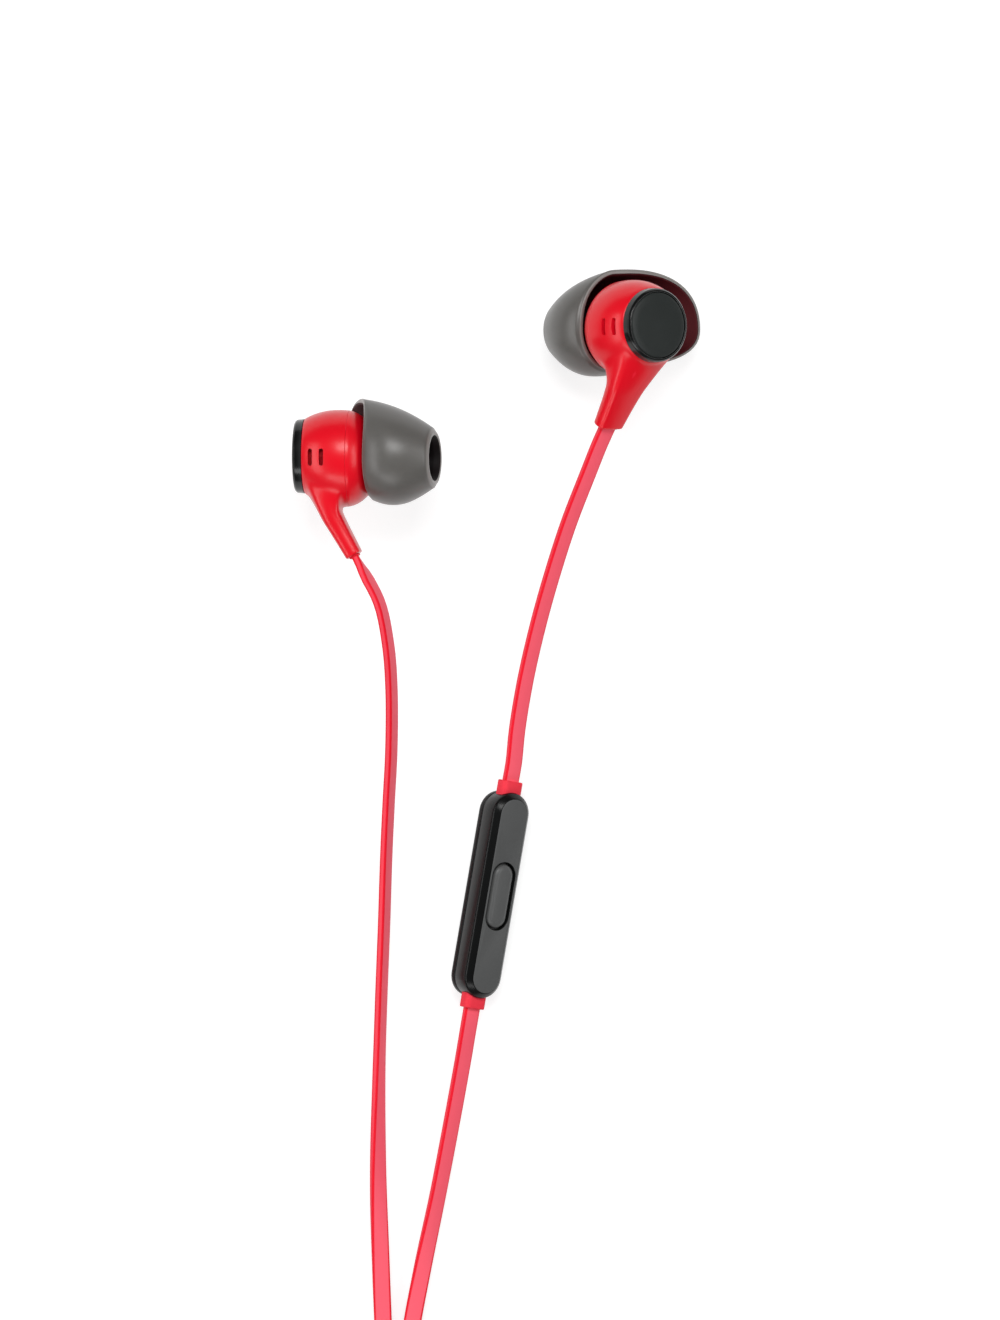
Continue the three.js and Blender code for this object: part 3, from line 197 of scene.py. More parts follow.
class Graph:
    """A node tree under construction."""

    def __init__(self, tree: bpy.types.NodeTree) -> None:
        """Starts on a tree, which it leaves as it is."""
        self.tree = tree

    def add(self, kind: str, **settings: object) -> bpy.types.Node:
        """Adds a node.

        Args:
            kind: The node's type.
            settings: Properties of the node, by name.

        Returns:
            The new node.
        """
        node = self.tree.nodes.new(kind)
        for name, value in settings.items():
            setattr(node, name, value)
        return node

    def feed(self, socket: bpy.types.NodeSocket, source: object) -> None:
        """Feeds a socket from another socket, or sets its value.

        Args:
            socket: The input to feed.
            source: An output socket, a number or a colour.
        """
        if isinstance(source, bpy.types.NodeSocket):
            self.tree.links.new(source, socket)
        else:
            socket.default_value = source

    def math(self, operation: str, *terms: object) -> bpy.types.NodeSocket:
        """Adds a Math node.

        Args:
            operation: The sum that it does.
            terms: Its inputs, as sockets or numbers.

        Returns:
            Its result.
        """
        node = self.add("ShaderNodeMath", operation=operation)
        for socket, term in zip(node.inputs, terms):
            self.feed(socket, term)
        return node.outputs[0]

    def spread(self, value: object, low: object, high: object) -> bpy.types.NodeSocket:
        """Spreads a value from 0 to 1 between two others.

        Args:
            value: The value to spread.
            low: What 0 becomes.
            high: What 1 becomes.

        Returns:
            The spread value.
        """
        node = self.add("ShaderNodeMapRange")
        self.feed(node.inputs["Value"], value)
        self.feed(node.inputs["To Min"], low)
        self.feed(node.inputs["To Max"], high)
        return node.outputs["Result"]

    def blend(self, share: object, first: object, second: object) -> bpy.types.NodeSocket:
        """Mixes two colours.

        Args:
            share: The second colour's share, from 0 to 1.
            first: The first colour.
            second: The second colour.

        Returns:
            The mix.
        """
        node = self.add("ShaderNodeMix", data_type="RGBA")
        self.feed(node.inputs["Factor"], share)
        self.feed(node.inputs["A"], first)
        self.feed(node.inputs["B"], second)
        return node.outputs["Result"]

    def noise(self, where: object, scale: object, detail: float) -> bpy.types.NodeSocket:
        """Adds soft noise.

        Args:
            where: The coordinates that it reads.
            scale: How many of its clouds fit in a metre.
            detail: How many finer layers it has.

        Returns:
            The noise, from 0 to 1.
        """
        node = self.add("ShaderNodeTexNoise")
        self.feed(node.inputs["Vector"], where)
        self.feed(node.inputs["Scale"], scale)
        self.feed(node.inputs["Detail"], detail)
        return node.outputs["Fac"]

    def bump(self, height: bpy.types.NodeSocket, distance: object) -> bpy.types.NodeSocket:
        """Raises a surface by a pattern.

        Args:
            height: The pattern, from 0 to 1.
            distance: How far it rises, in metres.

        Returns:
            The raised surface's normal.
        """
        node = self.add("ShaderNodeBump")
        self.feed(node.inputs["Distance"], distance)
        self.feed(node.inputs["Height"], height)
        return node.outputs["Normal"]


def new_group(
    name: str,
    inputs: Iterable[tuple[str, str, object]],
    outputs: Iterable[tuple[str, str]],
) -> tuple[Graph, bpy.types.Node, bpy.types.Node]:
    """An empty shader node group with its sockets.

    Args:
        name: The group's name.
        inputs: Rows of name, kind (Float or Color) and first value.
        outputs: Rows of name and kind.

    Returns:
        The graph, its input node and its output node.
    """
    tree = bpy.data.node_groups.new(name, "ShaderNodeTree")
    for title, kind, value in inputs:
        socket = tree.interface.new_socket(title, in_out="INPUT", socket_type=f"NodeSocket{kind}")
        socket.default_value = value
    for title, kind in outputs:
        tree.interface.new_socket(title, in_out="OUTPUT", socket_type=f"NodeSocket{kind}")
    graph = Graph(tree)
    return graph, graph.add("NodeGroupInput"), graph.add("NodeGroupOutput")


def moulded_grain() -> bpy.types.NodeTree:
    """The group for moulded surfaces: uneven tone, handled patches of gloss and a fine grain.

    Returns:
        The group.
    """
    graph, given, made = new_group(
        "Moulded Grain",
        [
            ("Colour", "Color", (0.5, 0.5, 0.5, 1.0)),
            ("Tone", "Float", 0.05),
            ("Roughness", "Float", 0.4),
            ("Handling", "Float", 0.05),
            ("Grain Scale", "Float", 9000.0),
            ("Grain Depth", "Float", 0.00001),
        ],
        [("Colour", "Color"), ("Roughness", "Float"), ("Normal", "Vector")],
    )
    where = graph.add("ShaderNodeTexCoord").outputs["Object"]
    cloud = graph.noise(where, CLOUD_SCALE, CLOUD_DETAIL)
    grain = graph.noise(where, given.outputs["Grain Scale"], GRAIN_DETAIL)
    darker = graph.add("ShaderNodeHueSaturation")
    swing = graph.math("MULTIPLY", given.outputs["Tone"], graph.math("SUBTRACT", cloud, 0.5))
    graph.feed(darker.inputs["Value"], graph.math("ADD", 1.0, swing))
    graph.feed(darker.inputs["Color"], given.outputs["Colour"])
    graph.feed(made.inputs["Colour"], darker.outputs["Color"])
    smear = graph.math("MULTIPLY", given.outputs["Handling"], graph.math("SUBTRACT", cloud, 0.5))
    fine = graph.math("MULTIPLY", given.outputs["Handling"], graph.math("SUBTRACT", grain, 0.5))
    rough = graph.math("ADD", given.outputs["Roughness"], graph.math("ADD", smear, fine))
    graph.feed(made.inputs["Roughness"], rough)
    graph.feed(made.inputs["Normal"], graph.bump(grain, given.outputs["Grain Depth"]))
    return graph.tree


def lit_edges() -> bpy.types.NodeTree:
    """The group that finds sharp rounded-over edges, as a mask from 0 to 1, for a painted
    highlight along them.

    Returns:
        The group.
    """
    graph, given, made = new_group(
        "Lit Edges",
        [("From", "Float", 0.52), ("To", "Float", 0.6)],
        [("Mask", "Float")],
    )
    bend = graph.add("ShaderNodeNewGeometry").outputs["Pointiness"]
    rise = graph.add("ShaderNodeMapRange", interpolation_type="SMOOTHSTEP")
    graph.feed(rise.inputs["Value"], bend)
    graph.feed(rise.inputs["From Min"], given.outputs["From"])
    graph.feed(rise.inputs["From Max"], given.outputs["To"])
    graph.feed(made.inputs["Mask"], rise.outputs["Result"])
    return graph.tree


GROUPS: dict[str, bpy.types.NodeTree] = {}


def use_group(
    graph: Graph, build: Callable[[], bpy.types.NodeTree], **values: object
) -> bpy.types.Node:
    """Places a shared group in a material's graph.

    Args:
        graph: The material's graph.
        build: The function that makes the group, called once.
        values: The group's inputs, with underscores for spaces.

    Returns:
        The group's node.
    """
    if build.__name__ not in GROUPS:
        GROUPS[build.__name__] = build()
    node = graph.add("ShaderNodeGroup")
    node.node_tree = GROUPS[build.__name__]
    for title, value in values.items():
        graph.feed(node.inputs[title.replace("_", " ")], value)
    return node


def new_material(name: str) -> tuple[bpy.types.Material, Graph, bpy.types.Node]:
    """A material with a bare Principled shader.

    Args:
        name: The material's name.

    Returns:
        The material, its graph and its shader node.
    """
    material = bpy.data.materials.new(f"{name}_finish")
    material.use_nodes = True
    return material, Graph(material.node_tree), material.node_tree.nodes["Principled BSDF"]


def linear(code: str) -> tuple[float, float, float, float]:
    """Turns a colour's hex code into light.

    Args:
        code: Six hex digits.

    Returns:
        Its red, green and blue light, and 1.
    """
    parts = [int(code[i : i + 2], 16) / 255 for i in (0, 2, 4)]
    light = [c / 12.92 if c <= 0.04045 else ((c + 0.055) / 1.055) ** 2.4 for c in parts]
    return (light[0], light[1], light[2], 1.0)


@dataclass(frozen=True)
class Moulded:
    """A moulded plastic, rubber or silicone finish."""

    name: str
    colour: str
    roughness: float
    tone: float = 0.06
    handling: float = 0.06
    grain_scale: float = 9000.0
    grain_depth: float = 0.000006
    coat: float = 0.0
    coat_roughness: float = 0.1
    sheen: float = 0.0
    sheen_roughness: float = 0.4
    # A lighter colour painted along rounded-over edges as a painted highlight, and its share.
    edge: str = ""
    edge_highlight_share: float = 0.0
    depth_glow: float = 0.0
    glow_reach: float = 0.0012
    glow_spread: Point = (1.0, 0.8, 0.7)
    # A second colour that a mesh attribute mixes in: painted light and shade on the cable and the
    # tip, and the collars' own deeper red.
    line: str = ""
    gloss: float = 0.5

    def material(self) -> bpy.types.Material:
        """Builds the finish's material.

        Returns:
            The material.
        """
        material, graph, shader = new_material(self.name)
        tint: object = linear(self.colour)
        # A second colour mixed in by a mesh attribute: painted shade on the cable's sides and
        # corners and in the tip's bore, a painted highlight on the tip's lips, and the collars'
        # and grommet's own deeper red.
        if self.line:
            mark = graph.add("ShaderNodeAttribute", attribute_name="painted_light_and_tone")
            tint = graph.blend(mark.outputs["Fac"], tint, linear(self.line))
        # Painted highlight: the edge colour is mixed in along sharp rounded-over edges.
        if self.edge:
            found = use_group(graph, lit_edges)
            share = graph.math("MULTIPLY", found.outputs["Mask"], self.edge_highlight_share)
            tint = graph.blend(share, tint, linear(self.edge))
        grain = use_group(
            graph,
            moulded_grain,
            Colour=tint,
            Tone=self.tone,
            Roughness=self.roughness,
            Handling=self.handling,
            Grain_Scale=self.grain_scale,
            Grain_Depth=self.grain_depth,
        )
        graph.feed(shader.inputs["Base Color"], grain.outputs["Colour"])
        graph.feed(shader.inputs["Roughness"], grain.outputs["Roughness"])
        graph.feed(shader.inputs["Normal"], grain.outputs["Normal"])
        shader.inputs["Specular IOR Level"].default_value = self.gloss
        shader.inputs["Coat Weight"].default_value = self.coat
        shader.inputs["Coat Roughness"].default_value = self.coat_roughness
        shader.inputs["Sheen Weight"].default_value = self.sheen
        shader.inputs["Sheen Roughness"].default_value = self.sheen_roughness
        if self.depth_glow:
            shader.inputs["Subsurface Weight"].default_value = self.depth_glow
            shader.inputs["Subsurface Radius"].default_value = self.glow_spread
            shader.inputs["Subsurface Scale"].default_value = self.glow_reach
        return material


@dataclass(frozen=True)
class Metal:
    """A turned or plated metal finish, with fine rings or scratches along one direction."""

    name: str
    colour: str
    roughness: float
    stretch: Point = (1.0, 1.0, 1.0)
    scratch_scale: float = 900.0
    scratch_depth: float = 0.000008
    smoother: float = 0.08
    rougher: float = 0.1
    dulling: float = 0.72

    def material(self) -> bpy.types.Material:
        """Builds the finish's material.

        Returns:
            The material.
        """
        material, graph, shader = new_material(self.name)
        where = graph.add("ShaderNodeMapping")
        graph.feed(where.inputs["Vector"], graph.add("ShaderNodeTexCoord").outputs["Object"])
        where.inputs["Scale"].default_value = self.stretch
        lines = graph.noise(where.outputs["Vector"], self.scratch_scale, SCRATCH_DETAIL)
        base = linear(self.colour)
        dull = tuple(self.dulling * part for part in base[:3]) + (1.0,)
        graph.feed(shader.inputs["Base Color"], graph.blend(lines, dull, base))
        rough = graph.spread(lines, self.roughness - self.smoother, self.roughness + self.rougher)
        graph.feed(shader.inputs["Roughness"], rough)
        graph.feed(shader.inputs["Normal"], graph.bump(lines, self.scratch_depth))
        shader.inputs["Metallic"].default_value = 1.0
        return material


@dataclass(frozen=True)
class Perforated:
    """A fine screen: a sheet of metal or cloth with rows of holes, painted dark as painted shade
    of the space behind.
    """

    name: str
    sheet: str
    hole_shade: str
    pitch: float
    metallic: float = 0.0
    hole_edge: tuple[float, float] = (0.3, 0.42)
    roughness: tuple[float, float] = (0.85, 0.4)
    depth: float = 0.00005

    def material(self) -> bpy.types.Material:
        """Builds the finish's material.

        Returns:
            The material.
        """
        material, graph, shader = new_material(self.name)
        cells = graph.add("ShaderNodeTexVoronoi", feature="F1", voronoi_dimensions="3D")
        graph.feed(cells.inputs["Vector"], graph.add("ShaderNodeTexCoord").outputs["Object"])
        cells.inputs["Scale"].default_value = 1.0 / (self.pitch * MM)
        cells.inputs["Randomness"].default_value = 0.0
        edge = graph.add("ShaderNodeMapRange", interpolation_type="SMOOTHSTEP")
        graph.feed(edge.inputs["Value"], cells.outputs["Distance"])
        low, high = edge.inputs["From Min"], edge.inputs["From Max"]
        low.default_value, high.default_value = self.hole_edge
        solid = edge.outputs["Result"]
        # The holes' colour is painted shade of the space behind the screen.
        colour = graph.blend(solid, linear(self.hole_shade), linear(self.sheet))
        graph.feed(shader.inputs["Base Color"], colour)
        graph.feed(shader.inputs["Roughness"], graph.spread(solid, *self.roughness))
        graph.feed(shader.inputs["Normal"], graph.bump(solid, self.depth))
        shader.inputs["Metallic"].default_value = self.metallic
        return material


@dataclass(frozen=True)
class Woven:
    """A woven strap: two sets of threads that cross."""

    name: str
    colour: str
    thread: float
    thread_waves: float = 0.32
    wander: float = 0.4
    # How much lighter the weave's crests are painted, as a painted highlight.
    crest_highlight_gain: float = 2.4
    crest_highlight_lift: float = 0.01
    roughness: tuple[float, float] = (0.95, 0.75)
    depth: float = 0.0001
    sheen: float = 0.3

    def material(self) -> bpy.types.Material:
        """Builds the finish's material.

        Returns:
            The material.
        """
        material, graph, shader = new_material(self.name)
        where = graph.add("ShaderNodeTexCoord").outputs["Object"]
        waves = []
        for axis in ("X", "Z"):
            wave = graph.add("ShaderNodeTexWave", bands_direction=axis, wave_profile="SIN")
            graph.feed(wave.inputs["Vector"], where)
            wave.inputs["Scale"].default_value = self.thread_waves / (self.thread * MM)
            wave.inputs["Distortion"].default_value = self.wander
            waves.append(wave.outputs["Fac"])
        weave = graph.math("MULTIPLY", *waves)
        base = linear(self.colour)
        # Painted highlight: the weave's crests, where the threads cross, are painted lighter.
        lit = [min(1.0, self.crest_highlight_gain * part + self.crest_highlight_lift) for part in base[:3]]
        crest_highlight = (*lit, 1.0)
        graph.feed(shader.inputs["Base Color"], graph.blend(weave, base, crest_highlight))
        graph.feed(shader.inputs["Roughness"], graph.spread(weave, *self.roughness))
        graph.feed(shader.inputs["Normal"], graph.bump(weave, self.depth))
        shader.inputs["Sheen Weight"].default_value = self.sheen
        return material


class Finish(Enum):
    """Every finish. Its name is the record's slot that it paints, bar the controller's sides."""

    # The edge colours below are painted highlights along rounded-over edges.
    RED_GLOSS = Moulded(
        "red_gloss", "E4001B", 0.36, tone=0.05, handling=0.05, grain_depth=0.000003,
        coat=0.4, coat_roughness=0.24, edge="FF3048", edge_highlight_share=0.3, gloss=0.2,
    )
    # The cable's pink base is a painted highlight on its flat faces. Its line colour is painted
    # shade on its sides and in the creases at its rounded corners, and is also the collars' and
    # the grommet's own deeper red.
    RED_CABLE = Moulded(
        "red_cable", "FF6072", 0.5, tone=0.05, handling=0.08, grain_scale=14000.0,
        grain_depth=0.000008, line="EE0826", gloss=0.2,
    )
    BLACK_GLOSS = Moulded(
        "black_gloss", "070808", 0.22, tone=0.2, handling=0.05, grain_depth=0.000001,
        coat=0.2, coat_roughness=0.08, edge="5A5C5C", edge_highlight_share=0.4, gloss=0.25,
    )
    DARK_DISC = Moulded(
        "dark_disc", "262A29", 0.36, tone=0.25, handling=0.08, grain_scale=16000.0,
        grain_depth=0.000004, gloss=0.25,
    )
    # The silicone's line colour is a painted highlight on the lips of the mouth and the hood.
    SILICONE = Moulded(
        "silicone", "5C5A57", 0.36, tone=0.08, handling=0.08, grain_scale=5200.0,
        grain_depth=0.000004, sheen=0.12, depth_glow=0.13, line="827F7C",
    )
    # The lining's maroon is a painted reflection of the red housing on the hood's inside. Its
    # near-black line colour is painted shade deep in the bore.
    SILICONE_LINING_PAINTED_LIGHT = Moulded(
        "silicone_lining_painted_light", "4A181D", 0.6, tone=0.1, handling=0.1, grain_scale=5200.0,
        grain_depth=0.000008, line="0C0607", gloss=0.15,
    )
    BLACK_SHELL = Moulded(
        "black_shell", "515252", 0.5, tone=0.15, handling=0.1, grain_scale=7500.0,
        grain_depth=0.00002, edge="5E6060", edge_highlight_share=0.5, gloss=0.3,
    )
    BLACK_SIDE = Moulded(
        "black_side", "0B0C0C", 0.26, tone=0.2, handling=0.06, grain_scale=9000.0,
        grain_depth=0.000004, edge="3C3E3E", edge_highlight_share=0.4, gloss=0.2,
    )
    GREY_BUTTON = Moulded(
        "grey_button", "535454", 0.4, tone=0.12, handling=0.1, grain_scale=8200.0,
        grain_depth=0.000014, gloss=0.4,
    )
    INSULATOR = Moulded("insulator", "151515", 0.5, tone=0.3, handling=0.1)
    CIRCUIT = Moulded("circuit", "1F5A34", 0.45, tone=0.5, handling=0.2, grain_scale=1800.0)
    FILM = Moulded("film", "D8C89A", 0.3, tone=0.1, handling=0.1, coat=0.6)
    STEEL = Metal("steel", "B8BABC", 0.3, (1.0, 1.0, 0.06))
    CONTACT = Metal("contact", "D9C27A", 0.2, (14.0, 1.0, 1.0), 500.0)
    # The screens' dark holes are painted shade of the space behind them. The vent screen's red
    # sheet is partly a painted reflection of the housing's red walls.
    NOZZLE_SCREEN = Perforated("nozzle_screen", "4A4B4C", "040404", 0.16, 1.0)
    VENT_SCREEN = Perforated("vent_screen", "B80C1C", "6A0610", 0.14)
    STRAP = Woven("strap", "1A1A1A", 0.35)

    @property
    def slot(self) -> str:
        """The record's slot that it paints."""
        return "black_shell" if self is Finish.BLACK_SIDE else self.value.name

    def material(self) -> bpy.types.Material:
        """The finish's one material, built when it is first used.

        Returns:
            The material.
        """
        if self not in MATERIALS:
            MATERIALS[self] = self.value.material()
        return MATERIALS[self]


MATERIALS: dict[Finish, bpy.types.Material] = {}


# --- the bench -------------------------------------------------------------------------------


class Blank:
    """A form on the bench, in millimetres, which becomes a piece."""

    def __init__(self, mesh: bmesh.types.BMesh | None = None) -> None:
        """Starts empty, or from a mesh."""
        self.bm = mesh or bmesh.new()

    @classmethod
    def lathe(cls, outline: Outline, steps: int = 64, closed: bool = False) -> Blank:
        """Turns an outline about Z.

        Args:
            outline: Rows of radius and height.
            steps: Facets round the axis.
            closed: Whether the last row joins the first, as in a ring.

        Returns:
            The turned blank.
        """
        blank = cls()
        rows = [blank.bm.verts.new((radius, 0.0, height)) for radius, height in outline]
        pairs = list(zip(rows, rows[1:])) + ([(rows[-1], rows[0])] if closed else [])
        edges = [blank.bm.edges.new(pair) for pair in pairs]
        bmesh.ops.spin(
            blank.bm,
            geom=rows + edges,
            cent=(0.0, 0.0, 0.0),
            axis=(0.0, 0.0, 1.0),
            dvec=(0.0, 0.0, 0.0),
            angle=math.tau,
            steps=steps,
            use_merge=True,
        )
        return blank.tidy()

    @classmethod
    def block(
        cls, width: float, length: float, low: float, high: float, corner: float, steps: int = 8
    ) -> Blank:
        """A plate along Z with rounded corners.

        Args:
            width: Size along X.
            length: Size along Y.
            low: Height of its underside.
            high: Height of its top.
            corner: Radius of its upright corners.
            steps: Facets in each corner.

        Returns:
            The plate.
        """
        blank = cls()
        bmesh.ops.create_cube(blank.bm, size=1.0)
        bmesh.ops.scale(blank.bm, vec=(width, length, high - low), verts=blank.bm.verts[:])
        bmesh.ops.translate(blank.bm, vec=(0.0, 0.0, (high + low) / 2), verts=blank.bm.verts[:])
        upright = [e for e in blank.bm.edges if abs(e.verts[0].co.z - e.verts[1].co.z) > 1e-6]
        corner = min(corner, min(width, length) / 2 - 0.0005)
        blank.round_over(upright, corner, steps)
        return blank.tidy(0.003)

    def tidy(self, reach: float = 0.0005) -> Blank:
        """Merges points that lie together and turns every face outwards.

        Args:
            reach: How close such points lie.

        Returns:
            The same blank.
        """
        bmesh.ops.remove_doubles(self.bm, verts=self.bm.verts[:], dist=reach)
        bmesh.ops.recalc_face_normals(self.bm, faces=self.bm.faces[:])
        return self

    def round_over(self, edges: list[bmesh.types.BMEdge], width: float, steps: int) -> None:
        """Bevels edges to an even round.

        Args:
            edges: The edges.
            width: How far the round reaches.
            steps: Facets in the round.
        """
        bmesh.ops.bevel(
            self.bm,
            geom=edges,
            offset=width,
            offset_type="OFFSET",
            segments=steps,
            profile=0.5,
            affect="EDGES",
            material=-1,
            clamp_overlap=True,
        )

    def ease(
        self,
        width: float,
        steps: int = 3,
        angle: float = 32.0,
        where: Callable[[Vector], bool] | None = None,
    ) -> Blank:
        """Rounds sharp edges over.

        Args:
            width: How far each round reaches.
            steps: Facets in the round.
            angle: Edges that turn by more than this, in degrees, are sharp.
            where: Tells whether a point belongs to the edges meant, or None for all.

        Returns:
            The same blank.
        """
        limit = math.radians(angle)
        edges = [
            edge
            for edge in self.bm.edges
            if edge.is_manifold
            and edge.calc_face_angle(0.0) > limit
            and (where is None or all(where(vert.co) for vert in edge.verts))
        ]
        if edges:
            self.round_over(edges, width, steps)
        return self

    def move(self, matrix: Matrix) -> Blank:
        """Moves or turns the blank."""
        bmesh.ops.transform(self.bm, matrix=matrix, verts=self.bm.verts[:])
        return self

    def reshape(self, place: Callable[[Vector], Sequence[float]]) -> Blank:
        """Moves every point to where a function puts it.

        Args:
            place: Gives a point's new place.

        Returns:
            The same blank.
        """
        for vert in self.bm.verts:
            vert.co = place(vert.co)
        return self

    def join(self, *others: Blank) -> Blank:
        """Takes other blanks into this one, as separate shells of one piece.

        Args:
            others: The other blanks.

        Returns:
            The same blank.
        """
        for other in others:
            mesh = bpy.data.meshes.new("joined")
            other.bm.to_mesh(mesh)
            self.bm.from_mesh(mesh)
            bpy.data.meshes.remove(mesh)
        return self

    def bench_object(self) -> bpy.types.Object:
        """A passing object of this blank, for a modifier to work on.

        Returns:
            The object.
        """
        mesh = bpy.data.meshes.new("bench")
        self.bm.to_mesh(mesh)
        piece = bpy.data.objects.new("bench", mesh)
        bpy.context.scene.collection.objects.link(piece)
        return piece

    def worked(self, piece: bpy.types.Object) -> Blank:
        """The blank that a bench object's modifiers leave.

        Args:
            piece: The bench object.

        Returns:
            A new blank.
        """
        graph = bpy.context.evaluated_depsgraph_get()
        mesh = bpy.data.meshes.new_from_object(piece.evaluated_get(graph))
        made = bmesh.new()
        made.from_mesh(mesh)
        bpy.data.meshes.remove(mesh)
        return Blank(made)

    def smoothed(self, levels: int) -> Blank:
        """The blank after a subdivision surface.

        Args:
            levels: How often each face is divided.

        Returns:
            A new blank.
        """
        piece = self.bench_object()
        step = piece.modifiers.new("smooth", "SUBSURF")
        step.levels = step.render_levels = levels
        made = self.worked(piece)
        bpy.data.objects.remove(piece)
        return made

    def carved(self, *cutters: Blank) -> Blank:
        """The blank with others cut out of it.

        Args:
            cutters: Closed blanks.

        Returns:
            A new blank.
        """
        piece = self.bench_object()
        tools = [cutter.bench_object() for cutter in cutters]
        for tool in tools:
            step = piece.modifiers.new("carve", "BOOLEAN")
            step.operation = "DIFFERENCE"
            step.solver = "EXACT"
            step.object = tool
        made = self.worked(piece)
        for thing in [piece, *tools]:
            bpy.data.objects.remove(thing)
        return made

    def tone(self, share: float) -> Blank:
        """Gives the whole blank a share of its finish's line colour.

        Args:
            share: The share, from 0 to 1.

        Returns:
            The same blank.
        """
        line = self.bm.verts.layers.float.new("painted_light_and_tone")
        for vert in self.bm.verts:
            vert[line] = share
        return self

    def paint(self, chosen: Callable[[bmesh.types.BMFace], bool]) -> Blank:
        """Marks the faces that take the accent finish.

        Args:
            chosen: Tells whether a face takes it.

        Returns:
            The same blank.
        """
        self.bm.normal_update()
        for face in self.bm.faces:
            face.material_index = int(chosen(face))
        return self

    def piece(
        self,
        name: str,
        place: Place,
        finish: Finish,
        replaces: Sequence[str] = (),
        body: Body = Body.EARPHONES,
        sharp: float = 38.0,
        accent: Finish | None = None,
    ) -> bpy.types.Object:
        """Sets the blank in place as a finished piece.

        Args:
            name: The piece's name.
            place: Where its sub-assembly lies.
            finish: Its finish.
            replaces: The solids that it stands for.
            body: The body that it rides on.
            sharp: Edges that turn by more than this, in degrees, stay crisp.
            accent: The finish of the marked faces, if some are marked.

        Returns:
            The piece's object.
        """
        self.move(place.matrix())
        for vert in self.bm.verts:
            vert.co.z = max(vert.co.z, 0.0)
        if place.matrix().determinant() < 0:
            bmesh.ops.reverse_faces(self.bm, faces=self.bm.faces[:])
        limit = math.radians(sharp)
        for face in self.bm.faces:
            face.smooth = True
        for edge in self.bm.edges:
            edge.smooth = not edge.is_manifold or edge.calc_face_angle(0.0) < limit
        mesh = bpy.data.meshes.new(name)
        self.bm.to_mesh(mesh)
        self.bm.free()
        for coat in filter(None, (finish, accent)):
            mesh.materials.append(coat.material())
        piece = bpy.data.objects.new(name, mesh)
        bpy.context.scene.collection.objects.link(piece)
        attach(piece, body.value)
        finish.slot
        if replaces:
            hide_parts(*replaces)
        LOG.info("%s: %d faces", name, len(mesh.polygons))
        return piece


# --- the flat cable --------------------------------------------------------------------------


@dataclass(frozen=True)
class Gate:
    """A place where the cable enters a piece, in metres, and the way that it leaves there."""

    place: Vector
    out: Vector
    roll: float = 0.0

    def point(self, reach: float) -> Vector:
        """A point in millimetres at a reach outwards from the gate."""
        return self.place / MM + self.out * reach


def cable_frame(run: Vector, roll: float) -> tuple[Vector, Vector]:
    """The width and face directions of the cable.

    Args:
        run: The way along it.
        roll: How far its face is turned from level, in degrees.

    Returns:
        Its width direction and its face direction.
    """
    level = (UP - run * run.z).normalized()
    turn = math.radians(roll)
    facing = level * math.cos(turn) + level.cross(run) * math.sin(turn)
    return facing.cross(run), facing


def smooth_route(points: Sequence[Vector], pace: float) -> list[Vector]:
    """An even walk along a smooth curve.

    Args:
        points: What the curve passes through.
        pace: The longest step.

    Returns:
        The points of the walk.
    """
    ends = [points[0] * 2 - points[1], *points, points[-1] * 2 - points[-2]]
    fine: list[Vector] = []
    for before, start, end, after in zip(ends, ends[1:], ends[2:], ends[3:]):
        lead, step, trail = (
            (b - a).length ** 0.5 for a, b in ((before, start), (start, end), (end, after))
        )
        leave = (start - before) / lead - (end - before) / (lead + step) + (end - start) / step
        reach = (end - start) / step - (after - start) / (step + trail) + (after - end) / trail
        leave, reach = leave * step, reach * step
        bend = (start - end) * 2 + leave + reach
        sway = (end - start) * 3 - leave * 2 - reach
        shares = [i / ROUTE_FINENESS for i in range(ROUTE_FINENESS)]
        fine += [start + leave * t + sway * t**2 + bend * t**3 for t in shares]
    fine.append(points[-1])
    gone = [0.0]
    for a, b in zip(fine, fine[1:]):
        gone.append(gone[-1] + (b - a).length)
    count = max(4, math.ceil(gone[-1] / pace))
    walk, i = [], 0
    for k in range(count + 1):
        mark = gone[-1] * k / count
        while i < len(fine) - 2 and gone[i + 1] < mark:
            i += 1
        walk.append(fine[i].lerp(fine[i + 1], (mark - gone[i]) / (gone[i + 1] - gone[i])))
    return walk


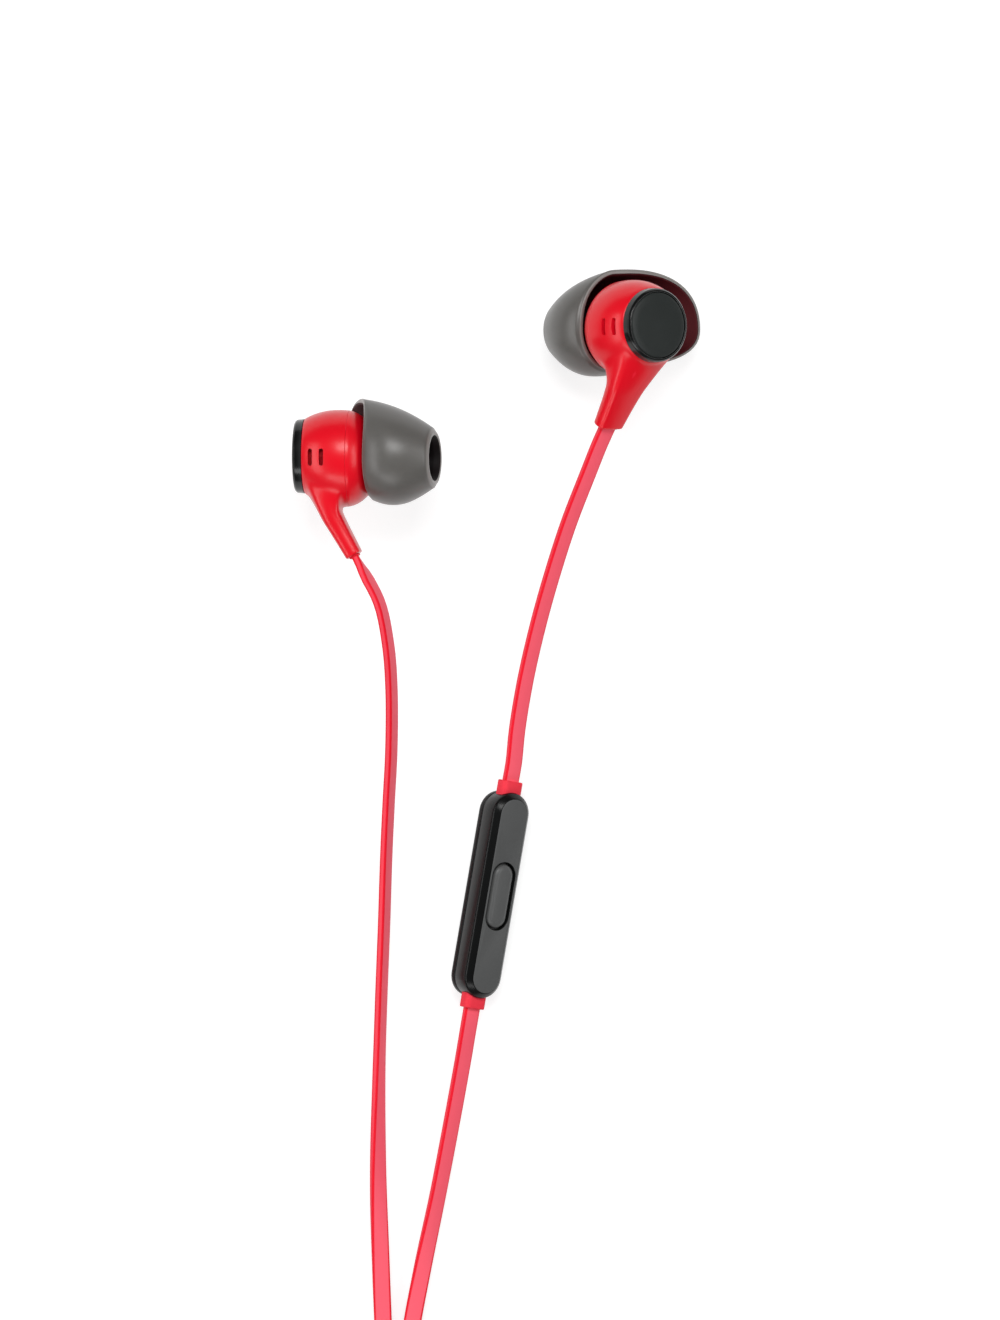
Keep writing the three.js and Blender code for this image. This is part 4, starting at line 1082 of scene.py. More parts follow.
@dataclass(frozen=True)
class Stretch:
    """A walk along the cable with a roll at every point."""

    points: list[Vector]
    rolls: list[float]

    PACE: ClassVar[float] = 1.4
    STRAIGHT: ClassVar[tuple[float, float]] = (0.3, 3.3)
    SEAT_DEPTH: ClassVar[float] = 1.2

    @classmethod
    def between(
        cls, start: Gate, route: Sequence[Point], end: Gate, turns: Sequence[tuple[float, float]]
    ) -> Stretch:
        """A stretch that leaves one gate straight and enters another straight.

        Args:
            start: Where it leaves.
            route: Given points between, in millimetres.
            end: Where it enters.
            turns: Rows of share of the length and roll.

        Returns:
            The stretch.
        """
        via = [Vector(point) + ROUTE_SHIFT for point in route]
        near = [start.point(reach) for reach in cls.STRAIGHT]
        far = [end.point(reach) for reach in reversed(cls.STRAIGHT)]
        walk = smooth_route([*near, *via, *far], cls.PACE)
        rolls = []
        for k in range(len(walk)):
            share = k / (len(walk) - 1)
            row = 0
            while row < len(turns) - 2 and share > turns[row + 1][0]:
                row += 1
            (low, first), (high, last) = turns[row], turns[row + 1]
            rolls.append(lerp(first, last, smoothstep(share, low, high)))
        return cls(walk, rolls)

    def joined(self, *others: Stretch) -> Stretch:
        """This stretch with others after it.

        Args:
            others: The stretches that follow, in order.

        Returns:
            The whole stretch.
        """
        points, rolls = list(self.points), list(self.rolls)
        for other in others:
            points += other.points[1:]
            rolls += other.rolls[1:]
        return Stretch(points, rolls)

    def seated(self, start: Gate, end: Gate) -> Stretch:
        """This stretch with both ends run on into the pieces that hold them.

        Args:
            start: The gate that it leaves.
            end: The gate that it enters.

        Returns:
            The longer stretch.
        """
        first, last = start.point(-self.SEAT_DEPTH), end.point(-self.SEAT_DEPTH)
        points = [first, *self.points, last]
        return Stretch(points, [self.rolls[0], *self.rolls, self.rolls[-1]])


@dataclass
class FlatCable:
    """The flat cable's section, which is drawn along each stretch."""

    width: float = 3.0
    thickness: float = 1.2
    corner: float = 0.4
    corner_steps: int = 4
    side_shade_share: float = 0.5
    flat_margin: float = 0.02

    def section(self) -> Blank:
        """Draws the section on the bench, with painted shade marked on its sides and, fully, on
        its rounded corners.

        Returns:
            A blank with one ring of edges.
        """
        blank = Blank()
        bm = blank.bm
        bmesh.ops.create_grid(bm, x_segments=1, y_segments=1, size=0.5)
        bmesh.ops.scale(bm, vec=(self.width, self.thickness, 1.0), verts=bm.verts[:])
        bmesh.ops.bevel(
            bm,
            geom=bm.verts[:],
            offset=self.corner,
            offset_type="OFFSET",
            segments=self.corner_steps,
            profile=0.5,
            affect="VERTICES",
            material=-1,
        )
        bmesh.ops.delete(bm, geom=bm.faces[:], context="FACES_ONLY")
        bm.verts.layers.float.new("painted_light_and_tone")
        bm.verts.layers.float_vector.new("section")
        line = bm.verts.layers.float["painted_light_and_tone"]
        spot = bm.verts.layers.float_vector["section"]
        for vert in bm.verts:
            at_side = abs(vert.co.x) > self.width / 2 - self.flat_margin
            at_face = abs(vert.co.y) > self.thickness / 2 - self.flat_margin
            # Painted light: the flat faces keep the lighter base colour, the sides take part of
            # the darker line colour as painted shade, and the rounded corners take all of it as
            # painted shade in the creases.
            vert[line] = 0.0 if at_face else self.side_shade_share if at_side else 1.0
            vert[spot] = vert.co
        return blank

    def drawn(self, stretch: Stretch) -> Blank:
        """Draws the section along a stretch.

        Args:
            stretch: The walk to follow.

        Returns:
            The closed cable.
        """
        blank = self.section()
        bm = blank.bm
        spot = bm.verts.layers.float_vector["section"]
        points = stretch.points
        ring, edges = bm.verts[:], bm.edges[:]
        for k, (point, roll) in enumerate(zip(points, stretch.rolls)):
            if k:
                made = bmesh.ops.extrude_edge_only(bm, edges=edges)["geom"]
                ring = [item for item in made if isinstance(item, bmesh.types.BMVert)]
                fresh = set(ring)
                edges = [
                    item
                    for item in made
                    if isinstance(item, bmesh.types.BMEdge) and set(item.verts) <= fresh
                ]
            run = (points[min(k + 1, len(points) - 1)] - points[max(k - 1, 0)]).normalized()
            side, facing = cable_frame(run, roll)
            for vert in ring:
                across, over, _ = vert[spot]
                vert.co = point + side * across + facing * over
        loose = [edge for edge in bm.edges if edge.is_boundary]
        bmesh.ops.holes_fill(bm, edges=loose, sides=0)
        bm.verts.layers.float_vector.remove(spot)
        bmesh.ops.recalc_face_normals(bm, faces=bm.faces[:])
        return blank


@dataclass
class Cables:
    """The free cables: one from each earpiece, one below the controller and the main one."""

    left: Earpiece
    right: Earpiece
    control: Controller
    splitter: Splitter
    plug: Plug
    cable: FlatCable = field(default_factory=FlatCable)
    coil_centre: tuple[float, float] = (3.5, -166.0)
    coil_radius: float = 21.0
    coil_pitch: float = 1.7
    coil_layer: float = 3.5
    coil_turns: float = 8.5
    coil_steps: int = 36
    coil_low: float = 2.6
    coil_climb: float = 0.25
    coil_roll: float = 90.0
    right_lie: float = 65.0
    right_span: tuple[float, float] = (0.03, 0.6)
    right_route: Sequence[Point] = (
        (-20.3, 9.6, 17.4),
        (-18.9, 2.8, 14.9),
        (-18.35, -4.5, 11.6),
        (-18.4, -15.1, 7.5),
        (-18.9, -24.5, 4.8),
        (-19.3, -33.0, 3.0),
        (-19.7, -45.0, 1.9),
        (-20.2, -58.0, 1.7),
        (-20.6, -72.0, 1.7),
        (-20.7, -88.0, 1.7),
        (-20.2, -104.0, 1.9),
    )
    left_upper_route: Sequence[Point] = (
        (14.9, 31.6, 11.9),
        (11.6, 23.1, 10.0),
        (8.5, 13.4, 8.1),
        (6.2, 5.0, 6.6),
        (4.3, -3.4, 5.5),
        (2.9, -11.8, 4.7),
    )
    left_lower_route: Sequence[Point] = (
        (-6.3, -68.0, 3.1),
        (-8.3, -79.0, 2.0),
        (-10.6, -91.0, 1.5),
        (-13.3, -104.0, 1.6),
    )
    lead_route: Sequence[Point] = ((-17.5, -148.0, 2.4),)
    tail_route: Sequence[Point] = ((24.5, -155.0, 5.4), (24.5, -146.0, 4.0))

    def coil_point(self, turns: float) -> Vector:
        """A point of the coil.

        Args:
            turns: How many turns it is from the coil's outer, lower end.

        Returns:
            The point, in millimetres.
        """
        angle = math.pi + turns * math.tau
        radius = self.coil_radius - self.coil_pitch * min(turns, self.coil_turns - turns)
        half = self.coil_turns / 2
        climb = smoothstep(turns, half - self.coil_climb, half + self.coil_climb)
        flat = Vector((math.cos(angle), math.sin(angle), 0.0)) * radius
        height = self.coil_low + self.coil_layer * climb
        return Vector((*self.coil_centre, height)) + ROUTE_SHIFT + flat

    def coil(self) -> Stretch:
        """The coil, loop by loop, with a straight run into it and out of it.

        Returns:
            The coil's stretch.
        """
        count = round(self.coil_turns * self.coil_steps)
        points = [self.coil_point(self.coil_turns * k / count) for k in range(count + 1)]
        straight = Vector((0.0, self.cable.width, 0.0))
        points = [points[0] + straight, *points, points[-1] + straight]
        return Stretch(points, [self.coil_roll] * len(points))

    def hang(self, name: str, stretch: Stretch, start: Gate, end: Gate, **facts: object) -> None:
        """Args:
            name: The piece's name.
            stretch: Its walk from gate to gate.
            start: The gate that it leaves.
            end: The gate that it enters.
            facts: The solids it replaces, under replaces; its other facts are not used.
        """
        walk = stretch.seated(start, end)
        solids = facts.pop("replaces")
        piece = self.cable.drawn(walk).piece(name, IN_PLACE, Finish.RED_CABLE, solids, sharp=70.0)
        length = sum((b - a).length for a, b in zip(walk.points, walk.points[1:])) * MM
        tuple(start.place)
        [tuple(point * MM) for point in walk.points]
        LOG.info("%s: %.3f m of cable", name, length)

    def build(self) -> None:
        """Makes every free cable."""
        left, right = self.left.gate(), self.right.gate()
        top, low = self.control.gate(1), self.control.gate(-1)
        to_right, to_left, main = self.splitter.gates()
        plug = self.plug.gate()
        coil = self.coil()
        coil_in = Gate(coil.points[0] * MM, Vector((0.0, 1.0, 0.0)))
        coil_out = Gate(coil.points[-1] * MM, Vector((0.0, 1.0, 0.0)))
        roll = self.control.roll
        upper_turns = ((0.0, left.roll), (1.0, roll))
        lower_turns = ((0.0, roll), (0.5, roll), (1.0, 0.0))
        lie, (first, last) = self.right_lie, self.right_span
        right_turns = ((0.0, right.roll), (first, lie), (last, lie), (1.0, 0.0))
        runs = (
            ("right", right, self.right_route, to_right, right_turns, "right_cord"),
            ("left_upper", left, self.left_upper_route, top, upper_turns, "left_cord_upper"),
            ("left_lower", low, self.left_lower_route, to_left, lower_turns, "left_cord_lower"),
        )
        for name, start, route, end, turns, node in runs:
            stretch = Stretch.between(start, route, end, turns)
            self.hang(f"cable_{name}", stretch, start, end, far_end="object", replaces=[node])
        up, down = ((0.0, 0.0), (1.0, self.coil_roll)), ((0.0, self.coil_roll), (1.0, 0.0))
        lead = Stretch.between(main, self.lead_route, coil_in, up)
        tail = Stretch.between(coil_out, self.tail_route, plug, down)
        self.hang(
            "cable_main",
            lead.joined(coil, tail),
            main,
            plug,
            far_end="plug",
            lay="coiled",
            with_pieces=[*self.plug.pieces, "plug_core", "cable_tie"],
            replaces=["main_cord_lead", "main_cord_coil", "main_cord_tail"],
        )


# --- earpiece --------------------------------------------------------------------------------


@dataclass
class EarTip:
    """The hooded silicone tip: one skin from its mouth to the hood's rim, and a sleeve."""

    mouth_radius: float = 4.8
    mouth_bore: float = 3.8
    wall: float = 1.0
    top_swell: float = 5.65
    top_depth: float = 20.0
    top_ease: float = 2.6
    low_radius: float = 7.9
    low_depth: float = 7.3
    low_round: float = 1.6
    hood_reach: float = 13.8
    hood_square: float = 2.9
    front_depth: float = 11.0
    hood_depth: float = 19.4
    sleeve_bore: float = 3.3
    sleeve_wall: float = 0.8
    sleeve_length: float = 8.6
    mouth: float = -15.8
    lean: float = 9.0
    facets: int = 112
    mouth_round: Outline = ((-0.62, 0.0), (-0.3, 0.06), (-0.08, 0.25))
    throat_round: Outline = ((-0.06, 0.35), (0.06, 0.1))
    skin_steps: int = 26
    lining_steps: int = 15
    lip_facets: int = 8
    lip_share: float = 0.35
    skin_stop: float = 0.4
    front_walls: float = 2.2
    root_round: float = 0.5
    sleeve_round: float = 0.15
    sleeve_start: Outline = ((0.0, 1.2), (0.1, 0.9))
    upper_power: float = 2.3
    lower_power: float = 7.0
    square_from: float = 0.2
    # Rows of the stand-in: the mouth's rows and the lip rows take a painted highlight, the rows
    # past bore_row take painted shade, and the faces past lining_row take the lining finish.
    mouth_rows: int = 3
    lip_row: int = 30
    lining_row: int = 33
    bore_row: int = 50

    def rim_depth(self, angle: float) -> float:
        """Depth of the rim behind the mouth.

        Args:
            angle: Direction round the nozzle, from the hood's side.

        Returns:
            The depth.
        """
        power = self.upper_power if math.sin(angle) > 0 else self.lower_power
        share = ((1 + math.cos(angle)) / 2) ** power
        return self.front_depth + (self.hood_depth - self.front_depth) * share

    def radius(self, angle: float, depth: float) -> float:
        """Outer radius of the skin.

        Args:
            angle: Direction round the nozzle, from the hood's side.
            depth: How far behind the mouth.

        Returns:
            The radius.
        """
        rear, upper = math.cos(angle) > 0, math.sin(angle) > 0
        left = max(0.0, 1 - depth / self.top_depth)
        top = self.top_swell * (1 - left**self.top_ease)
        swell = math.sin(math.pi / 2 * min(depth / self.low_depth, self.low_round))
        dome = (self.low_radius - self.mouth_radius) * swell
        tall = self.mouth_radius + (top if upper else dome)
        hood = (self.hood_reach - self.mouth_radius) * depth / self.hood_depth
        long = self.mouth_radius + (hood if rear else dome)
        back = smoothstep(depth, self.square_from * self.front_depth, self.front_depth)
        order = lerp(2.0, self.hood_square if rear else 2.0, back)
        x, y = abs(math.cos(angle)) / long, abs(math.sin(angle)) / tall
        return (x**order + y**order) ** (-1 / order)

    def outline(self, angle: float) -> list[tuple[float, float]]:
        """The skin's and sleeve's closed outline in one direction.

        Args:
            angle: Direction round the nozzle, from the hood's side.

        Returns:
            Rows of radius and depth, as many in every direction.
        """
        rim, wall = self.rim_depth(angle), self.wall
        front = self.front_walls * wall
        mouth = [(self.mouth_radius + a, b) for a, b in self.mouth_round]
        steps = self.skin_steps
        depths = [rim * k / steps for k in range(1, steps)]
        stop = rim - self.skin_stop * wall
        skin = [(self.radius(angle, depth), depth) for depth in depths if depth < stop]
        skin += [(self.radius(angle, stop), stop)] * (steps - 1 - len(skin))
        half, rise = wall / 2, self.lip_share * wall
        middle = self.radius(angle, rim) - half
        turns = [k * math.pi / self.lip_facets for k in range(self.lip_facets + 1)]
        lip = [(middle + half * math.cos(t), rim - rise + rise * math.sin(t)) for t in turns]
        steps = self.lining_steps
        depths = [max(front, rim * k / steps) for k in range(steps - 1, 0, -1)]
        lining = [(self.radius(angle, depth) - wall, depth) for depth in depths]
        bore, end, soft = self.sleeve_bore, self.sleeve_length, self.sleeve_round
        sleeve, deep = bore + self.sleeve_wall, self.root_round
        root = [(sleeve + deep, front), (sleeve, front + deep), (sleeve, end - soft)]
        root.append((sleeve - soft, end))
        inside = [(bore + soft, end), (bore, end - soft)]
        inside += [(bore + a, b) for a, b in self.sleeve_start]
        throat = [(self.mouth_bore + a, b) for a, b in self.throat_round]
        return [*mouth, *skin, *lip, *lining, *root, *inside, *throat]

    def build(self, side: str, place: Place, body: Body) -> bpy.types.Object:
        """Makes the tip.

        Args:
            side: The earpiece's side.
            place: Where the earpiece lies.
            body: The body that the tip rides on.

        Returns:
            The tip's piece.
        """
        count = len(self.outline(0.0))
        blank = Blank.lathe([(1.0, float(k)) for k in range(count)], self.facets, closed=True)
        outlines: dict[int, list[tuple[float, float]]] = {}

        def set_out(spot: Vector) -> Sequence[float]:
            """Puts a point of the turned stand-in on the skin.

            Args:
                spot: The point, whose height is the number of its row.

            Returns:
                Its place on the skin.
            """
            angle = math.atan2(spot.y, spot.x)
            key = round(angle * self.facets / math.tau)
            if key not in outlines:
                outlines[key] = self.outline(angle)
            radius, depth = outlines[key][round(spot.z)]
            return radius * math.cos(angle), radius * math.sin(angle), self.mouth + depth

        # The hood's inside and the bore take the lining finish, whose maroon is a painted
        # reflection of the red housing.
        blank.paint(lambda face: self.lining_row < face.calc_center_median().z)
        # Painted light: a lighter line colour on the mouth's and the hood's lips as a painted
        # highlight, and near-black in the bore as painted shade.
        rim = blank.bm.verts.layers.float.new("painted_light_and_tone")
        for vert in blank.bm.verts:
            row = round(vert.co.z)
            at_lip = self.lip_row <= row <= self.lining_row
            vert[rim] = float(row < self.mouth_rows or at_lip or row > self.bore_row)
        blank.reshape(set_out)
        bmesh.ops.recalc_face_normals(blank.bm, faces=blank.bm.faces[:])
        blank.move(Matrix.Rotation(math.radians(self.lean), 4, "Y"))
        name = f"{side}_ear_tip"
        return blank.piece(
            f"tip_{side}", place, Finish.SILICONE, [name], body, 60.0, Finish.SILICONE_LINING_PAINTED_LIGHT
        )


@dataclass
class Earpiece:
    """One earpiece: two housing halves, the cap and disc, the vents, the anchor and the tip."""

    side: str
    place: Place
    tip_body: Body
    radius: float = 8.2
    back_depth: float = 6.1
    front_height: float = 6.7
    rim_radius: float = 6.35
    bulge: float = 2.3
    rim_rise: float = 0.4
    opening_radius: float = 5.2
    wall: float = 1.2
    seam: float = -0.9
    cap_height: float = 1.6
    cap_face_radius: float = 5.9
    plate_radius: float = 5.5
    facets: int = 32
    patch: tuple[float, float] = (-45.0, 33.75)
    patch_rows: tuple[float, ...] = (0.3, 1.8, 3.3, 4.7, 5.8)
    stem_end: Point = (-3.0, -16.4, -2.0)
    stem_lean: float = 30.0
    stem_length: float = 13.5
    stem_drift: float = 1.6
    stem_width: tuple[float, float] = (5.2, 9.0)
    stem_thickness: tuple[float, float] = (2.9, 4.3)
    stem_round: float = 0.55
    stem_flare: tuple[tuple[float, float], ...] = (
        (0.0, 0.0), (0.35, 0.25), (0.65, 0.6), (0.85, 0.9), (1.0, 1.0),
    )
    stem_stations: tuple[float, ...] = (7.9, 6.6, 5.2, 3.8, 2.4, 1.2, 0.5, 0.2)
    vent_length: float = 2.9
    vent_width: float = 0.75
    vent_pitch: float = 1.95
    vent_height: float = 4.15
    vent_rise: float = 0.1
    nozzle_lean: float = 9.0
    nozzle_bend: tuple[float, float] = (2.6, 5.6)
    bowl_heights: tuple[float, ...] = (-1.5, -2.2, -2.9, -3.6, -4.3, -4.9, -5.3)
    nozzle_neck: Outline = ((3.45, -5.68), (3.02, -5.98), (2.78, -6.45), (2.7, -7.0), (2.7, -8.9))
    nozzle_barb: Outline = ((3.0, -9.25), (3.0, -10.05), (2.75, -10.3), (2.4, -10.3), (2.4, -9.9))
    nozzle_bore: Outline = (
        (2.1, -9.9), (2.1, -4.6), (4.9, -3.5), (6.3, -2.4), (6.9, -1.4),
    )
    seam_gap: float = 0.005
    cage_growth: float = 1.0064
    grommet_proud: float = 0.3
    cap_seat: float = 0.1
    cap_sunk: float = 0.5
    cap_tube: tuple[float, float, float] = (4.2, 4.9, 1.4)
    plate_dome: tuple[float, ...] = (0.25, 0.5, 0.75, 0.94)
    plate_rise: float = 0.04
    tip: EarTip = field(default_factory=EarTip)

    def raised(self, height: float) -> float:
        """How far the housing's rings lean up the ear at a height."""
        return self.rim_rise * min(1.0, max(0.0, height / self.front_height))

    def housing_radius(self, height: float) -> float:
        """The housing's outer radius.

        Args:
            height: Height above its widest section.

        Returns:
            The radius there.
        """
        if height <= 0:
            return self.radius * math.sqrt(1 - min(1.0, -height / self.back_depth) ** 2)
        drop = (height / self.front_height) ** self.bulge
        return self.radius - (self.radius - self.rim_radius) * drop

    def stem_spot(self, distance: float, across: float, over: float) -> Vector:
        """A point of the stem.

        Args:
            distance: How far back along it from its end.
            across: Share of its half width, from -1 to 1.
            over: Share of its half thickness, from -1 to 1.

        Returns:
            The point on the bench.
        """
        lean = math.radians(self.stem_lean)
        share = distance / self.stem_length
        flare = reading(self.stem_flare, share)
        width, thick = lerp(*self.stem_width, flare), lerp(*self.stem_thickness, flare)
        centre = Vector(self.stem_end) + Vector((0, math.cos(lean), math.sin(lean))) * distance
        centre.x += self.stem_drift * share + across * width / 2
        return centre + Vector((0, -math.sin(lean), math.cos(lean))) * (over * thick / 2)

    def gate(self) -> Gate:
        """The gate where the cable leaves the stem.

        Returns:
            The gate, with its face to the front.
        """
        end = self.place.point(*self.stem_spot(-self.grommet_proud, 0.0, 0.0))
        inner = self.place.point(*self.stem_spot(1.0, 0.0, 0.0))
        out = (end - inner).normalized()
        side, facing = cable_frame(out, 0.0)
        outward = self.place.way(0.0, 0.0, 1.0)
        roll = math.degrees(math.atan2(outward.dot(side), outward.dot(facing)))
        return Gate(end, out, roll + 180.0 if roll < 0 else roll)

    def cage_outline(self) -> list[tuple[float, float]]:
        """The front half's coarse outline, which the smoothing draws in.

        Returns:
            Rows of radius and height.
        """
        hold = self.cage_growth
        low = self.seam + self.seam_gap
        walls = [low, low + 0.05, *self.patch_rows, self.front_height - 0.33]
        outer = [(self.housing_radius(height) * hold, height) for height in walls]
        rim, top, mouth = self.rim_radius * hold, self.front_height, self.opening_radius
        lip = [(rim + 0.02, top - 0.1), (rim - 0.1, top + 0.04), (rim - 0.5, top + 0.04)]
        inner = self.radius - self.wall
        inside = [
            (mouth + 0.2, top), (mouth, top - 0.2), (mouth, top - 1.2), (inner - 0.5, 4.4),
            (inner, 2.4), (inner, low + 0.14), (inner, low), (inner + 0.5, low),
        ]
        return [*outer, *lip, *inside]

    def front(self) -> Blank:
        """The front half, with the stem drawn out of its lower side in one smooth skin.

        Returns:
            The blank.
        """
        cage = Blank.lathe(self.cage_outline(), self.facets, closed=True)
        bm = cage.bm
        low, high = self.patch
        rows = self.patch_rows
        across = bm.verts.layers.float.new("across")
        over = bm.verts.layers.float.new("over")

        def off_centre(vert: bmesh.types.BMVert) -> float:
            """A point's angle from the housing's lowest line, in degrees."""
            return (math.degrees(math.atan2(vert.co.y, vert.co.x)) + 90 + 180) % 360 - 180

        def in_patch(vert: bmesh.types.BMVert) -> bool:
            """Whether a point belongs to the stem's root.

            Args:
                vert: The point.

            Returns:
                True if it does.
            """
            wide = low - 1 < off_centre(vert) < high + 1
            tall = rows[0] - 0.1 < vert.co.z < rows[-1] + 0.1
            return wide and tall and vert.co.xy.length > self.housing_radius(vert.co.z) - 0.2

        root = [face for face in bm.faces if all(in_patch(vert) for vert in face.verts)]
        for vert in {vert for face in root for vert in face.verts}:
            vert[across] = 2 * (off_centre(vert) - low) / (high - low) - 1
            row = min(range(len(rows)), key=lambda k: abs(rows[k] - vert.co.z))
            vert[over] = 2 * row / (len(rows) - 1) - 1
        for distance in (*self.stem_stations, 0.0):
            made = bmesh.ops.extrude_face_region(bm, geom=root)["geom"]
            bmesh.ops.delete(bm, geom=root, context="FACES_KEEP_BOUNDARY")
            root = [item for item in made if isinstance(item, bmesh.types.BMFace)]
            inset = 0.93 if distance == 0.0 else 1.0
            for vert in {vert for face in root for vert in face.verts}:
                wide, tall = vert[across] * inset, vert[over] * inset
                wide, tall = (
                    wide * math.sqrt(1 - self.stem_round * tall**2 / 2),
                    tall * math.sqrt(1 - self.stem_round * wide**2 / 2),
                )
                spot = self.stem_spot(distance, wide, tall)
                vert.co = spot - Vector((0.0, self.raised(spot.z), 0.0))
        for layer in ("across", "over"):
            bm.verts.layers.float.remove(bm.verts.layers.float[layer])
        cage.reshape(lambda spot: (spot.x, spot.y + self.raised(spot.z), spot.z))
        bmesh.ops.recalc_face_normals(bm, faces=bm.faces[:])
        return cage.smoothed(3).carved(*self.vents()).tidy()

    def vents(self) -> list[Blank]:
        """Cutters for the two vent slots.

        Returns:
            The cutters.
        """
        cutters = []
        for step in (-0.5, 0.5):
            slot = Blank.block(self.vent_width, self.vent_length, -2.0, 2.0, self.vent_width / 2)
            slot.move(Matrix.Rotation(math.radians(90), 4, "Y"))
            height = self.vent_height + step * self.vent_pitch
            slot.move(Matrix.Translation((-self.radius + 1.0, self.vent_rise, height)))
            cutters.append(slot)
        return cutters

    def back(self) -> Blank:
        """The half behind the seam, drawn into the nozzle with its barb.

        Returns:
            The blank.
        """
        start = self.seam - self.seam_gap
        heights = (start, *self.bowl_heights)
        bowl = [(self.housing_radius(height), height) for height in heights]
        inside = [*self.nozzle_bore, (self.radius - self.wall, start)]
        outline = [*bowl, *self.nozzle_neck, *self.nozzle_barb, *inside]
        blank = Blank.lathe(outline, 72, closed=True)
        blank.ease(0.02, 2, 34.0)

        def lean(spot: Vector) -> Vector:
            """Leans the nozzle away from the housing's axis."""
            turn = math.radians(self.nozzle_lean) * smoothstep(-spot.z, *self.nozzle_bend)
            return Matrix.Rotation(turn, 3, "Y") @ spot

        return blank.reshape(lean)

    def cap(self) -> Blank:
        """The raised black ring, with a recess for the disc.

        Returns:
            The blank.
        """
        base = self.front_height + 0.1
        top = self.front_height + self.cap_height
        seat, foot = self.plate_radius + self.cap_seat, self.rim_radius - 0.05
        bore, tube, deep = self.cap_tube
        floor = top - self.cap_sunk
        outline = [
            (0.0, base), (bore, base), (bore, base - deep), (tube, base - deep), (tube, base),
            (foot, base), (foot - 0.08, base + 0.45 * self.cap_height),
            (self.cap_face_radius + 0.28, top - 0.34), (self.cap_face_radius, top),
            (seat + 0.12, top), (seat, top - 0.1), (seat, floor), (0.0, floor),
        ]
        ring = Blank.lathe(outline, 96).ease(0.14, 4, 20.0, lambda spot: spot.z > base + 0.3)
        return ring.move(Matrix.Translation((0.0, self.rim_rise, 0.0)))

    def plate(self) -> Blank:
        """The bare disc, a little domed.

        Returns:
            The blank.
        """
        top = self.front_height + self.cap_height
        crown, reach, foot = top + self.plate_rise, self.plate_radius, top - 0.45
        rows = [(reach * share, crown - 0.1 * share**2) for share in self.plate_dome]
        outline = [(0.0, crown), *rows, (reach, top - 0.14), (reach, foot), (0.0, foot)]
        disc = Blank.lathe(outline, 96).ease(0.05, 2, 30.0)
        return disc.move(Matrix.Translation((0.0, self.rim_rise, 0.0)))

    def anchor(self) -> Blank:
        """The grommet in the stem's end that the cable leaves.

        Returns:
            The blank.
        """
        block = Blank.block(3.4, 1.7, -self.grommet_proud, 2.9, 0.4, 5).ease(0.12).tone(0.9)
        lean = math.radians(self.stem_lean)
        turn = Matrix((
            (1.0, 0.0, self.stem_drift / self.stem_length),
            (0.0, -math.sin(lean), math.cos(lean)),
            (0.0, math.cos(lean), math.sin(lean)),
        )).to_4x4()
        return block.move(Matrix.Translation(self.stem_end) @ turn)

    def build(self) -> None:
        """Makes the earpiece's pieces and dresses the solids inside it."""
        side = self.side
        shells = (
            (self.back(), "nozzle", Finish.RED_GLOSS, "nozzle_housing", 38.0),
            (self.front(), "housing", Finish.RED_GLOSS, "stem_housing", 50.0),
            (self.cap(), "cap", Finish.BLACK_GLOSS, "face_cap", 38.0),
            (self.plate(), "disc", Finish.DARK_DISC, "face_plate", 38.0),
            (self.anchor(), "grommet", Finish.RED_CABLE, "cable_anchor", 38.0),
        )
        for blank, name, finish, node, sharp in shells:
            blank.piece(f"{name}_{side}", self.place, finish, [f"{side}_{node}"], sharp=sharp)
        self.tip.build(side, self.place, self.tip_body)
        insides = {
            "driver_frame": Finish.STEEL,
            "driver_magnet": Finish.STEEL,
            "driver_diaphragm": Finish.FILM,
            "nozzle_mesh": Finish.NOZZLE_SCREEN,
            "vent_mesh": Finish.VENT_SCREEN,
        }
        for node, finish in insides.items():
            dress(f"{side}_{node}", finish)


def dress(node: str, finish: Finish) -> None:
    """Gives a solid that stays in view its finish.

    Args:
        node: The solid's name.
        finish: Its finish.
    """
    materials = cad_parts[node].data.materials
    materials.clear()
    materials.append(finish.material())


# --- in-line pieces --------------------------------------------------------------------------


